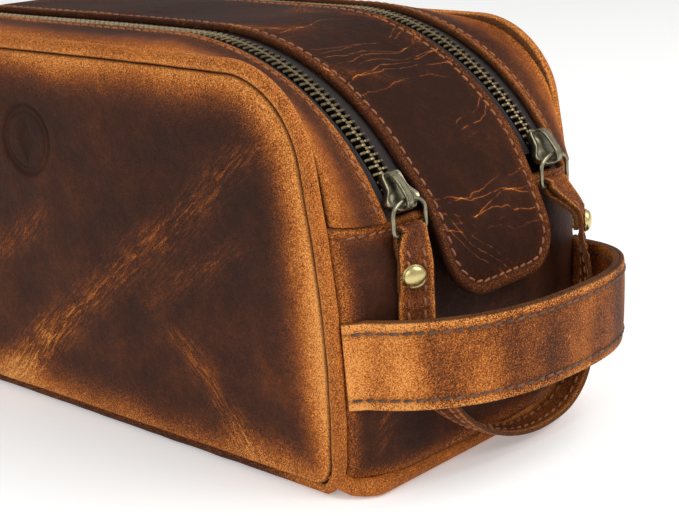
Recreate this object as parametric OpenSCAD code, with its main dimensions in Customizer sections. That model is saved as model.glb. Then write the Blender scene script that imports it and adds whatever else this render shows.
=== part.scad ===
// Leather shaving kit bag with two parallel zips, a sewn end handle and a pull strap.
// X runs along the bag, Y from front to back, Z up. The origin is the middle of the base.

/* [Bag] */
// Length of the front panel, measured between its side creases
panel_length = 252.6; // [244:0.2:262]
// Depth of the bag, measured between the front and back pipings
bag_depth = 122.4; // [118:0.2:128]
// Height of the front panel's top crease
panel_height = 118.9; // [116:0.1:121]
// Height of the crown between the zips
crown_height = 125; // [124:0.5:128]
// Radius of the crown's shoulders
shoulder_radius = 92; // [88:1:94]
// How far the ends bulge past the front panel
end_bulge = 8.9; // [8:0.1:10]
// Height of the seam where the crown meets the end panels
seam_height = 78; // [76:0.5:79]

/* [Leather] */
// Thickness of the outer leather
leather = 2; // [1.6:0.1:2.2]
// Thickness of the lining
lining = 0.7; // [0.5:0.1:0.9]
// Width of the welted piping
piping_width = 5; // [4.5:0.1:5.5]

/* [Zips] */
// Distance of each zip chain from the middle of the bag
zip_offset = 35.6; // [35.4:0.1:36]
// Half width of the leather flap between the zips
flap_half_width = 28.8; // [28:0.1:29]
// Distance of each crown strip's stitched edge from the middle
strip_edge = 42.6; // [42.4:0.1:43]
// Height of the flap's free tip
flap_tip_height = 52.3; // [50:0.5:56]
// Height of the sliders when the bag is shut
slider_height = 84.4; // [83:0.2:85]

/* [Handle and strap] */
// Width of the end handle
handle_width = 25.4; // [22:0.2:26]
// Height of the handle's lower edge where it is sewn in
handle_height = 26; // [25:0.5:28]
// Width of the pull strap
strap_width = 10.4; // [9:0.2:11]

/* [Hidden] */
gap = 0.4;

// Leather colours
dark_leather = [0.30, 0.16, 0.10];
warm_leather = [0.62, 0.33, 0.14];
cloth = [0.36, 0.30, 0.24];
tape_colour = [0.20, 0.14, 0.14];
tooth_brass = [0.55, 0.47, 0.32];
slider_nickel = [0.48, 0.45, 0.36];
rivet_brass = [0.66, 0.56, 0.28];

// Front panel outline: an almost straight side between two round corners
half_length = panel_length / 2;
half_depth = bag_depth / 2;
panel_bottom = 4;
bottom_corner = 8;
side_radius = 440;
side_foot = panel_bottom + bottom_corner;
side_centre = half_length - side_radius;
top_corner = 29;
top_centre_z = panel_height - top_corner;
top_centre_x = side_centre
    + sqrt(pow(side_radius - top_corner, 2) - pow(top_centre_z - side_foot, 2));
side_angle = atan2(top_centre_z - side_foot, top_centre_x - side_centre);

// Crown outline: a flat top between two shoulders of one radius
shoulder_x = half_length - 72.3;
shoulder_z = crown_height - shoulder_radius;
seam_angle = asin((seam_height - shoulder_z) / shoulder_radius);
crown_run = shoulder_x + arc_length(shoulder_radius, 90 - seam_angle);
panel_seam_angle = asin((seam_height - side_foot) / side_radius);
panel_run = top_centre_x + arc_length(top_corner, 90 - side_angle)
    + arc_length(side_radius, side_angle - panel_seam_angle);

// The gusset rounds over from the crown to the piping along a quarter ellipse
gusset_edge = half_depth - 6.7;
gusset_flat = 36;
gusset_out = 1.5;

// Depths below the outer surface of the crown
tape_depth = leather + 0.2;
tape_thick = 0.9;
lining_depth = tape_depth + tape_thick + 0.3;
tooth_half = 2.1;
tooth_width = 4;
chain_gap = 0.3;

// Flap, split where its tip lifts
tip_split_angle = asin((slider_height + 1 - shoulder_z) / shoulder_radius);
tip_end_angle = asin((flap_tip_height - shoulder_z) / shoulder_radius);
tip_half_width = flap_half_width - 1.9;
root_half_width = 24.5;
root_length = 14;
root_angle = 180 - asin((seam_height + 1 - shoulder_z) / shoulder_radius);

// Sliders
slider_angle = asin((slider_height - shoulder_z) / shoulder_radius);
slider_x = shoulder_x + shoulder_radius * cos(slider_angle);
plate_low = 0.6;
plate_high = 1.5;
ring_along = 3.4;
ring_above = 2.9;
ring_wire = 0.65;
ring_half = 7;
ring_drop = 9.5;
ring_angle = -87;
ring_x = slider_x + ring_above * cos(slider_angle) + ring_along * sin(slider_angle);
ring_z = slider_height + ring_above * sin(slider_angle) - ring_along * cos(slider_angle);
bar_x = ring_x + ring_drop * cos(ring_angle);
bar_z = ring_z + ring_drop * sin(ring_angle);

// Handle: one full bow, sewn into the seams beside the pipings
bow_foot = half_length - 5.3;
bow_depth = 46.3;
bow_half_span = 54.6;
bow_fullness = 2.5;
handle_ply = 1.6;
handle_rise = 4;

// Strap
strap_thick = 2.4;
strap_loop_ply = 1.2;
strap_loop_r = ring_wire + 0.35;
strap_x = bar_x - 0.2;
loop_half = 5.2;
rivet_place = [138.6, -37.8, 62.8];
back_leg_out = 4.7;
rivet_turn = 32;
rivet_radius = 3.6;

// Centre line of the strap's hanging loop, from the front leg to the back leg,
// and the turn of its width from across the bag (0) to along the bag (90)
strap_route = [
    [strap_x, -35.6, 71.2], [135.8, -36.1, 70], [137.2, -37, 68.6], [138.6, -37.8, 67.4],
    [138.6, -37.8, 57.8], [139.3, -38.6, 54], [140, -39, 47], [140.8, -38.2, 39.6],
    [141.4, -36, 32], [141.8, -32.2, 24.8], [142, -26.4, 18], [142.2, -18.8, 12.4],
    [142.4, -9.4, 8.2], [142.8, 1.4, 5.6], [143, 12, 5], [143.2, 22, 6.6],
    [143.4, 30.2, 10.8], [143.8, 35.4, 17.6], [144.2, 37.8, 26], [144.4, 38.8, 35],
    [144.2, 39, 44], [143.8, 38.6, 52], [138.6 + back_leg_out, 37.8, 57.8],
    [138.6 + back_leg_out, 37.8, 67.4], [141.6, 37, 70], [138.6, 36.1, 71.4],
    [strap_x, 35.6, 71.8]
];
strap_turn = [
    0, 12, 24, 32, 32, 41, 50, 60, 70, 78, 86, 90, 90, 90,
    90, 90, 84, 76, 68, 60, 52, 42, 32, 32, 24, 12, 0
];

function arc_length(r, degrees) = r * degrees * PI / 180;
function blend(a, b, t) = a * (1 - t) + b * t;
function polar(centre, r, a) = [centre.x + r * cos(a), centre.y + r * sin(a)];
function arc(centre, r, a0, a1, n) =
    [for (i = [0 : n]) polar(centre, r, a0 + (a1 - a0) * i / n)];
function tail(points) = [for (i = [1 : len(points) - 1]) points[i]];
function mirrored(points) = [for (i = [len(points) - 1 : -1 : 0]) [-points[i].x, points[i].y]];
function flat_list(rows) = [for (row = rows) each row];

// Right half of the front panel's outline, grown outwards by out
function panel_half(out) = concat(
    arc([half_length - bottom_corner, side_foot], bottom_corner + out, -90, 0, 6),
    tail(arc([side_centre, side_foot], side_radius + out, 0, side_angle, 6)),
    tail(arc([top_centre_x, top_centre_z], top_corner + out, side_angle, 90, 12))
);
function panel_outline(out) = concat(panel_half(out), mirrored(panel_half(out)));

// Point at run s from the middle of the top, on the front panel's outline
function panel_at(s, out) =
    let (corner_run = arc_length(top_corner, 90 - side_angle))
    s < top_centre_x ? [s, panel_height + out]
    : s < top_centre_x + corner_run
    ? polar([top_centre_x, top_centre_z], top_corner + out,
            90 - (s - top_centre_x) / top_corner * 180 / PI)
    : polar([side_centre, side_foot], side_radius + out,
            side_angle - (s - top_centre_x - corner_run) / side_radius * 180 / PI);

// Point at run s from the middle of the top, on the crown's outline
function crown_at(s, out) =
    s < shoulder_x ? [s, crown_height + out]
    : polar([shoulder_x, shoulder_z], shoulder_radius + out,
            90 - (s - shoulder_x) / shoulder_radius * 180 / PI);

// How far the gusset has risen from the piping to the crown, 0 to 1
function rise(y) =
    abs(y) <= gusset_flat ? 1
    : sqrt(max(0, 1 - pow((abs(y) - gusset_flat) / (gusset_edge - gusset_flat), 2)));

// Gusset points over the top (u from -1 to 1) and down the right end (height z)
function top_point(u, y, out) =
    let (p = blend(panel_at(abs(u) * panel_run, gusset_out + out),
                   crown_at(abs(u) * crown_run, out), rise(y)))
    [sign(u) * p.x, y, p.y];
function panel_side(z) =
    z > side_foot ? side_centre + sqrt(pow(side_radius, 2) - pow(z - side_foot, 2))
    : half_length - bottom_corner + sqrt(pow(bottom_corner, 2) - pow(side_foot - z, 2));
function end_side(z) = half_length + end_bulge - 6 * pow(max(0, z - 52) / 26, 2);
function end_point(z, y, out) =
    [blend(panel_side(z) + gusset_out, end_side(z), rise(y)) + out, y, z];
function end_surface(z, y) = end_point(z, y, 0).x;

// Places across the gusset, closer together where it rounds over
function ellipse_y(t) = gusset_flat + (gusset_edge - gusset_flat) * sin(t);
function rounding(last) = [for (t = [90 : -15 : last]) -ellipse_y(t)];

// Closed solid between two grids of points with the same rows and columns
module grid_solid(outer, inner) {
    rows = len(outer);
    columns = len(outer[0]);
    size = rows * columns;
    function id(layer, i, j) = layer * size + i * columns + j;
    function quad(a, b, c, d) = [[a, b, c], [a, c, d]];
    polyhedron(
        points = concat(flat_list(outer), flat_list(inner)),
        faces = flat_list(concat(
            [for (i = [0 : rows - 2], j = [0 : columns - 2])
                quad(id(0, i, j), id(0, i, j + 1), id(0, i + 1, j + 1), id(0, i + 1, j))],
            [for (i = [0 : rows - 2], j = [0 : columns - 2])
                quad(id(1, i, j), id(1, i + 1, j), id(1, i + 1, j + 1), id(1, i, j + 1))],
            [for (i = [0 : rows - 2])
                quad(id(0, i, 0), id(0, i + 1, 0), id(1, i + 1, 0), id(1, i, 0))],
            [for (i = [0 : rows - 2])
                quad(id(0, i, columns - 1), id(1, i, columns - 1),
                     id(1, i + 1, columns - 1), id(0, i + 1, columns - 1))],
            [for (j = [0 : columns - 2])
                quad(id(0, 0, j), id(1, 0, j), id(1, 0, j + 1), id(0, 0, j + 1))],
            [for (j = [0 : columns - 2])
                quad(id(0, rows - 1, j), id(0, rows - 1, j + 1),
                     id(1, rows - 1, j + 1), id(1, rows - 1, j))]
        ))
    );
}

// Extrudes a drawing in X and Z between two places along Y
module across(y0, y1) {
    translate([0, y1, 0]) rotate([90, 0, 0]) linear_extrude(y1 - y0) children();
}

// Band along the crown's outline, between two depths, from one angle to the other
module crown_band(low, high, from_angle, to_angle) {
    function side(out) = concat(
        arc([shoulder_x, shoulder_z], shoulder_radius + out, from_angle, 90, 18),
        arc([-shoulder_x, shoulder_z], shoulder_radius + out, 90, to_angle, 18)
    );
    inner = side(low);
    polygon(concat(side(high), [for (i = [len(inner) - 1 : -1 : 0]) inner[i]]));
}

// Strip over the top of the gusset, through the given places across the bag
module top_shell(places, depth, thick, reach = 1) {
    steps = 22;
    function layer(out) = [for (i = [-steps : steps])
        [for (y = places) top_point(reach * i / steps, y, out)]];
    grid_solid(layer(-depth), layer(-depth - thick));
}

// Curved wall at the right end, between two heights
module end_shell(z_from, z_to, depth, thick) {
    heights = [for (i = [0 : 10]) z_to + (z_from - z_to) * i / 10];
    side = rounding(0);
    places = concat(side, [for (i = [len(side) - 1 : -1 : 0]) -side[i]]);
    function layer(out) = [for (z = heights) [for (y = places) end_point(z, y, out)]];
    grid_solid(layer(-depth), layer(-depth - thick));
}

// Outer panels of the bag
module front_panel() {
    color(dark_leather)
        across(-half_depth - 1, -half_depth + leather - 1) polygon(panel_outline(-1.7));
}
module back_panel() {
    color(dark_leather)
        across(half_depth - leather + 1, half_depth + 1) polygon(panel_outline(-1.7));
}
module right_end_panel() {
    color(dark_leather) end_shell(7.4, seam_height - gap, 0, leather);
}
module left_end_panel() {
    color(dark_leather) mirror([1, 0, 0]) end_shell(7.4, seam_height - gap, 0, leather);
}
module base_panel() {
    long = half_length + 1;
    wide = gusset_edge - 0.3;
    color(dark_leather)
        linear_extrude(leather + 0.4)
            polygon([for (a = [45 : 90 : 315], b = [-30, 0, 30])
                [sign(cos(a)) * (long - 8) + 8 * cos(a + b),
                 sign(sin(a)) * (wide - 8) + 8 * sin(a + b)]]);
}

// Crown strips beside the zips
module top_strip() {
    color(warm_leather) top_shell(concat(rounding(30), [-strip_edge]), 0, leather);
}
module front_top_strip() { top_strip(); }
module back_top_strip() { mirror([0, 1, 0]) top_strip(); }

// Pipings: a welt all round the front and back panels, and one under each end
module panel_piping() {
    color(warm_leather)
        across(-half_depth, -gusset_edge - 0.2)
            difference() {
                polygon(panel_outline(piping_width - 1.5));
                polygon(panel_outline(-1.5));
            }
}
module front_piping() { panel_piping(); }
module back_piping() { mirror([0, 1, 0]) panel_piping(); }
module end_piping() {
    color(warm_leather)
        translate([half_length + end_bulge - 3.6, 0, 3.6])
            rotate([90, 0, 0]) cylinder(r = 3.4, h = 2 * gusset_edge - 9, center = true, $fn = 48);
}
module right_end_piping() { end_piping(); }
module left_end_piping() { mirror([1, 0, 0]) end_piping(); }

// Cloth lining, one piece behind each panel
module panel_lining() {
    color(cloth)
        across(-half_depth + leather - 0.8, -half_depth + leather + lining - 0.8)
            polygon(panel_outline(-4.5));
}
module front_lining() { panel_lining(); }
module back_lining() { mirror([0, 1, 0]) panel_lining(); }
module right_end_lining() {
    color(cloth) end_shell(9, seam_height - 2, leather + gap, lining);
}
module left_end_lining() {
    color(cloth) mirror([1, 0, 0]) end_shell(9, seam_height - 2, leather + gap, lining);
}
module base_lining() {
    color(cloth)
        translate([0, 0, leather + 0.9])
            linear_extrude(lining)
                square([2 * half_length - 16, 2 * gusset_edge - 4], center = true);
}
module strip_lining() {
    color(cloth) top_shell(concat(rounding(15), [-40.4]), lining_depth, lining, 0.975);
}
module front_strip_lining() { strip_lining(); }
module back_strip_lining() { mirror([0, 1, 0]) strip_lining(); }

// Zip halves sewn to the crown strips
module outer_tape() {
    inner_edge = zip_offset + chain_gap + tooth_width + 0.05;
    color(tape_colour) top_shell([-47, -43.5, -inner_edge], tape_depth, tape_thick);
}
module outer_teeth() {
    color(tooth_brass)
        across(-zip_offset - chain_gap - tooth_width, -zip_offset - chain_gap)
            crown_band(-1.7 - tooth_half, tooth_half - 1.7, seam_angle + 1, 179 - seam_angle);
}
module front_zip_tape() { outer_tape(); }
module back_zip_tape() { mirror([0, 1, 0]) outer_tape(); }
module front_zip_teeth() { outer_teeth(); }
module back_zip_teeth() { mirror([0, 1, 0]) outer_teeth(); }

// End handle: an outer and an inner ply of one bow, flat against the bag at its ends
module handle_ply_solid(stand_off) {
    steps = 40;
    reach = gusset_edge - 0.6;
    function bow(y) =
        bow_foot + bow_depth * sqrt(max(0, 1 - pow(abs(y) / bow_half_span, bow_fullness)));
    function centre_x(y) =
        max(bow(y), end_surface(handle_height + handle_width / 2, y) + handle_ply + 0.5);
    function lift(y) = handle_rise * max(0, bow(y) - half_length) / (bow_depth - 5.3);
    function row(z, off) = [for (i = [-steps : steps])
        let (y = reach * sin(90 * i / steps))
        [centre_x(y) + off, y, z + lift(y)]];
    function layer(off) = [row(handle_height + handle_width, off), row(handle_height, off)];
    color(warm_leather) grid_solid(layer(stand_off + handle_ply), layer(stand_off));
}
module handle_outer() { handle_ply_solid(0.1); }
module handle_inner() { handle_ply_solid(-handle_ply); }

// Flap between the zips, hinged on its seam at the left end
module root_cut() {
    corner = polar([-shoulder_x, shoulder_z], shoulder_radius, root_angle);
    for (side = [-1, 1])
        translate([corner.x - 10, side > 0 ? root_half_width : -60, corner.y - 10])
            cube([10 + root_length * 0.75, 60 - root_half_width, 22]);
}
module flap_layer(low, high, y_from, y_to) {
    difference() {
        across(y_from, y_to) crown_band(low, high, tip_split_angle, root_angle);
        root_cut();
    }
}
module flap_panel() {
    color(dark_leather) flap_layer(-leather, 0, -flap_half_width, flap_half_width);
}
module flap_lining() {
    color(cloth) flap_layer(-lining_depth - lining, -lining_depth, -31, 31);
}
module flap_tape() {
    inner_edge = zip_offset - chain_gap - tooth_width;
    color(tape_colour)
        flap_layer(-tape_depth - tape_thick, -tape_depth, -inner_edge, 12 - inner_edge);
}
module flap_teeth() {
    color(tooth_brass)
        flap_layer(-1.7 - tooth_half, tooth_half - 1.7,
                   chain_gap - zip_offset, chain_gap + tooth_width - zip_offset);
}
module front_flap_tape() { flap_tape(); }
module back_flap_tape() { mirror([0, 1, 0]) flap_tape(); }
module front_flap_teeth() { flap_teeth(); }
module back_flap_teeth() { mirror([0, 1, 0]) flap_teeth(); }

// Free tip of the flap, past the sliders
module tip_band(low, high) {
    function side(out) = arc([shoulder_x, shoulder_z], shoulder_radius + out,
                             tip_end_angle, tip_split_angle - gap, 8);
    inner = side(low);
    polygon(concat(side(high), [for (i = [len(inner) - 1 : -1 : 0]) inner[i]]));
}
module tip_layer(low, high, half_width) {
    corner = 15;
    tip_x = shoulder_x + shoulder_radius;
    intersection() {
        across(-half_width, half_width) tip_band(low, high);
        translate([tip_x - 40, 0, 0]) rotate([90, 0, 90]) linear_extrude(60)
            union() {
                translate([-half_width, flap_tip_height + corner])
                    square([2 * half_width, 60]);
                translate([corner - half_width, flap_tip_height - 1])
                    square([2 * (half_width - corner), 60]);
                for (side = [-1, 1])
                    translate([side * (half_width - corner), flap_tip_height + corner])
                        circle(r = corner, $fn = 64);
            }
    }
}
module flap_tip() {
    color(dark_leather) tip_layer(-leather, 0, tip_half_width);
}
module flap_tip_lining() {
    color(cloth) tip_layer(-leather - lining - 0.1, -leather - 0.1, tip_half_width - 1);
}

// Places a slider's own frame (X down the zip, Z out of the bag) on the front zip
module on_front_zip() {
    translate([slider_x, -zip_offset, slider_height])
        rotate([0, 90 - slider_angle, 0]) children();
}
module slider_body() {
    half_plan = [[-5.8, 3.4], [-4.8, 4], [-2.4, 4.3], [0.6, 5.8], [2.6, 6.8], [4, 6.4], [5.8, 3.8]];
    color(slider_nickel) on_front_zip() {
        translate([0, 0, plate_low]) linear_extrude(plate_high - plate_low)
            polygon(concat(half_plan, [for (i = [len(half_plan) - 1 : -1 : 0])
                [half_plan[i].x, -half_plan[i].y]]));
        for (side = [-1, 1])
            translate([0.8, side * 5.1 - 0.5, -0.7]) cube([3, 1, 1.4]);
    }
}
module slider_bridge() {
    half_thick = 1.7;
    color(slider_nickel) on_front_zip()
        difference() {
            across(-half_thick, half_thick)
                polygon([[-5.2, plate_high], [-5.1, 2.6], [-3.6, 4], [-1, 4.8], [2, 5.1],
                         [4.4, 4.8], [5.5, 3.9], [5.7, 2.7], [5.3, plate_high]]);
            across(-half_thick - 1, half_thick + 1)
                polygon([[-3.4, plate_high + 0.5], [-3.1, 2.9], [-1.2, 3.7], [1, 3.9],
                         [1, plate_high + 0.5]]);
            translate([ring_along, 0, ring_above]) rotate([90, 0, 0])
                cylinder(r = ring_wire + 0.4, h = 20, center = true, $fn = 40);
        }
}
module front_slider_body() { slider_body(); }
module front_slider_bridge() { slider_bridge(); }
module back_slider_body() { mirror([0, 1, 0]) slider_body(); }
module back_slider_bridge() { mirror([0, 1, 0]) slider_bridge(); }

// Wire ring: its upper bar turns in the slider's bridge, its lower bar carries the strap
module wire_ring() {
    corners = [[0, -ring_half], [0, ring_half], [ring_drop, ring_half], [ring_drop, -ring_half]];
    color(slider_nickel)
        translate([ring_x, -zip_offset, ring_z]) rotate([0, -ring_angle, 0]) {
            for (x = [0, ring_drop])
                translate([x, 0, 0]) rotate([90, 0, 0])
                    cylinder(r = ring_wire, h = 2 * ring_half, center = true, $fn = 32);
            for (side = [-1, 1])
                translate([0, side * ring_half, 0]) rotate([0, 90, 0])
                    cylinder(r = ring_wire, h = ring_drop, $fn = 32);
            for (p = corners)
                translate([p.x, p.y, 0]) sphere(r = ring_wire, $fn = 32);
        }
}
module front_ring() { wire_ring(); }
module back_ring() { mirror([0, 1, 0]) wire_ring(); }

// Pull strap: looped round both lower bars, hanging behind the handle
module strap_loop() {
    across(-zip_offset - loop_half, -zip_offset + loop_half)
        difference() {
            union() {
                translate([bar_x, bar_z]) circle(r = strap_loop_r + strap_loop_ply, $fn = 48);
                translate([strap_x - strap_thick / 2, 70])
                    square([strap_thick, bar_z - 71]);
            }
            translate([bar_x, bar_z]) circle(r = strap_loop_r, $fn = 48);
        }
}
module strap_run() {
    last = len(strap_route) - 1;
    function flow(i) =
        let (d = strap_route[min(i + 1, last)] - strap_route[max(i - 1, 0)]) d / norm(d);
    function wide(i) =
        let (w = [sin(strap_turn[i]), i > last / 2 ? -cos(strap_turn[i]) : cos(strap_turn[i]), 0],
             v = w - (w * flow(i)) * flow(i)) v / norm(v);
    function corner(i, across_by, out_by) =
        strap_route[i] + wide(i) * across_by + cross(wide(i), flow(i)) * out_by;
    function layer(out_by) = [for (i = [0 : last])
        [for (s = [-1, 1]) corner(i, s * strap_width / 2, out_by)]];
    grid_solid(layer(-strap_thick / 2), layer(strap_thick / 2));
}
module pull_strap() {
    color(warm_leather) {
        strap_run();
        strap_loop();
        mirror([0, 1, 0]) strap_loop();
    }
}

// Rivets that close the strap's loops: a domed cap outside, a post with a flat head inside
module at_rivet() {
    translate(rivet_place) rotate([0, 0, -rivet_turn]) rotate([0, 90, 0]) children();
}
module rivet_cap() {
    dome = 4.2;
    height = 2.2;
    color(rivet_brass) at_rivet()
        translate([0, 0, strap_thick / 2]) intersection() {
            cylinder(r = rivet_radius, h = height, $fn = 48);
            translate([0, 0, height - dome]) sphere(r = dome, $fn = 64);
        }
}
module rivet_post() {
    head = 0.5;
    color(rivet_brass) at_rivet()
        translate([0, 0, -strap_thick / 2 - head]) {
            cylinder(r = 2.2, h = head, $fn = 40);
            cylinder(r = 1.1, h = strap_thick + head, $fn = 32);
        }
}
module front_rivet_cap() { rivet_cap(); }
module front_rivet_post() { rivet_post(); }
module back_rivet_cap() { translate([back_leg_out, 0, 0]) mirror([0, 1, 0]) rivet_cap(); }
module back_rivet_post() { translate([back_leg_out, 0, 0]) mirror([0, 1, 0]) rivet_post(); }

front_panel();
back_panel();
right_end_panel();
left_end_panel();
base_panel();
front_top_strip();
back_top_strip();
front_piping();
back_piping();
right_end_piping();
left_end_piping();
front_lining();
back_lining();
right_end_lining();
left_end_lining();
base_lining();
front_strip_lining();
back_strip_lining();
front_zip_tape();
back_zip_tape();
front_zip_teeth();
back_zip_teeth();
handle_outer();
handle_inner();
flap_panel();
flap_lining();
front_flap_tape();
back_flap_tape();
front_flap_teeth();
back_flap_teeth();
flap_tip();
flap_tip_lining();
front_slider_body();
front_slider_bridge();
back_slider_body();
back_slider_bridge();
front_ring();
back_ring();
pull_strap();
front_rivet_cap();
front_rivet_post();
back_rivet_cap();
back_rivet_post();
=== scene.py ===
import math

import bpy
import numpy as np
from mathutils import Matrix, Vector


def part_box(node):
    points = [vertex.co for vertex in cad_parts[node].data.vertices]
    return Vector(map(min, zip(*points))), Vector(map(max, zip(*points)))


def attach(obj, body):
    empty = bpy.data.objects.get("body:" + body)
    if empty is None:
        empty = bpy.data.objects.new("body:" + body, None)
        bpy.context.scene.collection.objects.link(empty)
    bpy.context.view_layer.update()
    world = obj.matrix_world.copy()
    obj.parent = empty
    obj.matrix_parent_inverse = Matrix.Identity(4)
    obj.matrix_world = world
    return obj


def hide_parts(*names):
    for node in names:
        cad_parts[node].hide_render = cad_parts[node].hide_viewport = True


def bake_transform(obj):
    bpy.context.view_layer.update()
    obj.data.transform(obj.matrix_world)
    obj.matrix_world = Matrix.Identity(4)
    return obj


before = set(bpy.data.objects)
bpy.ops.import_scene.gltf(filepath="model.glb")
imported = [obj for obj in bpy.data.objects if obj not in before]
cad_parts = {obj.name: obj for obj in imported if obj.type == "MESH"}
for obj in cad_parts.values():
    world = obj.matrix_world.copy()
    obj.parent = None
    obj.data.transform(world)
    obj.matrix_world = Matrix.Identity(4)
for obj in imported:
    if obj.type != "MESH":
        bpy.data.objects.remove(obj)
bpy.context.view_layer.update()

# Lengths are millimetres from here on. They turn into metres when a mesh is made.
MM = 0.001


def node_box(name):
    """Lowest and highest corner of a CAD node, in millimetres."""
    low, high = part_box(name)
    return np.array(low) / MM, np.array(high) / MM


# ---------------------------------------------------------------- measures of the bag

panel_low, panel_high = node_box("front_panel")
panel_inset = 1.7      # the CAD panel stops this far inside the bag's outline
rim_inset = 1.2        # and the leather of the visual panel this far
half_length = panel_high[0] + panel_inset
half_depth = node_box("back_panel")[1][1] - 1
panel_bottom = panel_low[2] - panel_inset
panel_top = panel_high[2] + panel_inset

# The crown: flat on top, then one arc down to the seam of each end panel
crown_height = node_box("flap_panel")[1][2]
shoulder_radius = 92
shoulder_x = half_length - 72.3
shoulder_z = crown_height - shoulder_radius
seam_height = 78
end_top = seam_height - 0.2
end_stitch = seam_height - 3.4


def shoulder_angle(height):
    """Angle on the crown's arc at a height, from level."""
    return math.asin((height - shoulder_z) / shoulder_radius)


def run_to(height):
    """Run over the crown from the middle of its top down to a height."""
    return shoulder_x + shoulder_radius * (math.pi / 2 - shoulder_angle(height))


crown_run = run_to(seam_height)

# The front panel's outline: round corners and slightly bowed sides
bottom_corner = 8
side_radius = 440
side_foot = panel_bottom + bottom_corner
side_centre = half_length - side_radius
top_corner = 29
top_centre_z = panel_top - top_corner
top_centre_x = side_centre + math.sqrt(
    (side_radius - top_corner) ** 2 - (top_centre_z - side_foot) ** 2)
side_angle = math.atan2(top_centre_z - side_foot, top_centre_x - side_centre)
panel_seam_angle = math.asin((seam_height - side_foot) / side_radius)
corner_run = top_corner * (math.pi / 2 - side_angle)
panel_run = top_centre_x + corner_run + side_radius * (side_angle - panel_seam_angle)

# The gusset, which is the crown strips and the end panels between the two pipings
gusset_edge = half_depth - 3.8
gusset_flat = 36
gusset_out = 1.5
end_bulge = 8.9
leather_thick = 2
foot_sink = 2.5        # how far the front and back panels and their pipings settle at the foot
foot_height = 24       # the height at which a panel starts to settle
foot_fade = 17         # and the height over which it comes to do so fully
welt_radius = 2.2
end_welt_radius = 2.7
lining_thick = 0.6

# Crown strips, zips and flap: places across the bag from its middle, and sizes
zip_offset = 35.6
tooth_pitch = 2.4
tooth_sink = 1.7
tooth_root = 3.5
bag_tape = (38.7, 43.9)
flap_tape = (24, 32.5)
strip_edge = 42.6
strip_stitch = strip_edge + 2.9
flap_stitch = 4.0
flap_half_width = node_box("flap_panel")[1][1] - 0.8
tip_half_width = node_box("flap_tip")[1][1] - 0.8
tip_corner = 15
tip_run = run_to(node_box("flap_tip")[0][2])
root_run = crown_run + 1.0
root_narrowing = 4.2

# Sliders, and the wire rings hung from their bridges
slider_height = 84.4
slider_angle = shoulder_angle(slider_height)
slider_x = shoulder_x + shoulder_radius * math.cos(slider_angle)
split_run = run_to(slider_height + 1)
ring_wire = 0.65
ring_half = 7
ring_drop = 9.5
ring_angle = math.radians(-87)
ring_out = 2.9         # the ring's top, out from the zip at the slider and down along it
ring_down = 3.4
ring_x = slider_x + ring_out * math.cos(slider_angle) + ring_down * math.sin(slider_angle)
ring_z = slider_height + ring_out * math.sin(slider_angle) - ring_down * math.cos(slider_angle)
bar_x = ring_x + ring_drop * math.cos(ring_angle)
bar_z = ring_z + ring_drop * math.sin(ring_angle)

# Handle: a bow of two plies
handle_low = 26
handle_width = 25.4
bow_foot = half_length - 5.3
bow_depth = 46.3
bow_half_span = 54.6
bow_fullness = 2.5
handle_ply = 1.6
handle_rise = 4
handle_stitch = 3.1

# Pull strap and its rivets
strap_width = 10.4
rivet_place = (138.6, 37.8, 62.8)
back_leg_out = 4.7
rivet_turn = math.radians(32)

FACES = (("front", -1), ("back", 1))
ENDS = (("right", 1), ("left", -1))


# ---------------------------------------------------------------- camera

def make_camera():
    """The camera, at the photograph's place (in metres) and angle (in radians)."""
    yaw, pitch, roll = 0.7312, 0.2763, -0.0313
    focal_length = 79.2
    place = Vector((0.38568, -0.34438, 0.17960))
    back = Vector((math.sin(yaw) * math.cos(pitch), -math.cos(yaw) * math.cos(pitch),
                   math.sin(pitch)))
    level = Vector((math.cos(yaw), math.sin(yaw), 0))
    up = back.cross(level)
    right = math.cos(roll) * level + math.sin(roll) * up
    upright = math.cos(roll) * up - math.sin(roll) * level
    data = bpy.data.cameras.new("camera")
    data.lens = focal_length
    data.clip_start = 0.01
    data.clip_end = 20
    camera = bpy.data.objects.new("camera", data)
    camera.matrix_world = Matrix((
        (right.x, upright.x, back.x, place.x),
        (right.y, upright.y, back.y, place.y),
        (right.z, upright.z, back.z, place.z),
        (0, 0, 0, 1)))
    bpy.context.scene.collection.objects.link(camera)
    bpy.context.scene.camera = camera


make_camera()


# ---------------------------------------------------------------- materials

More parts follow.
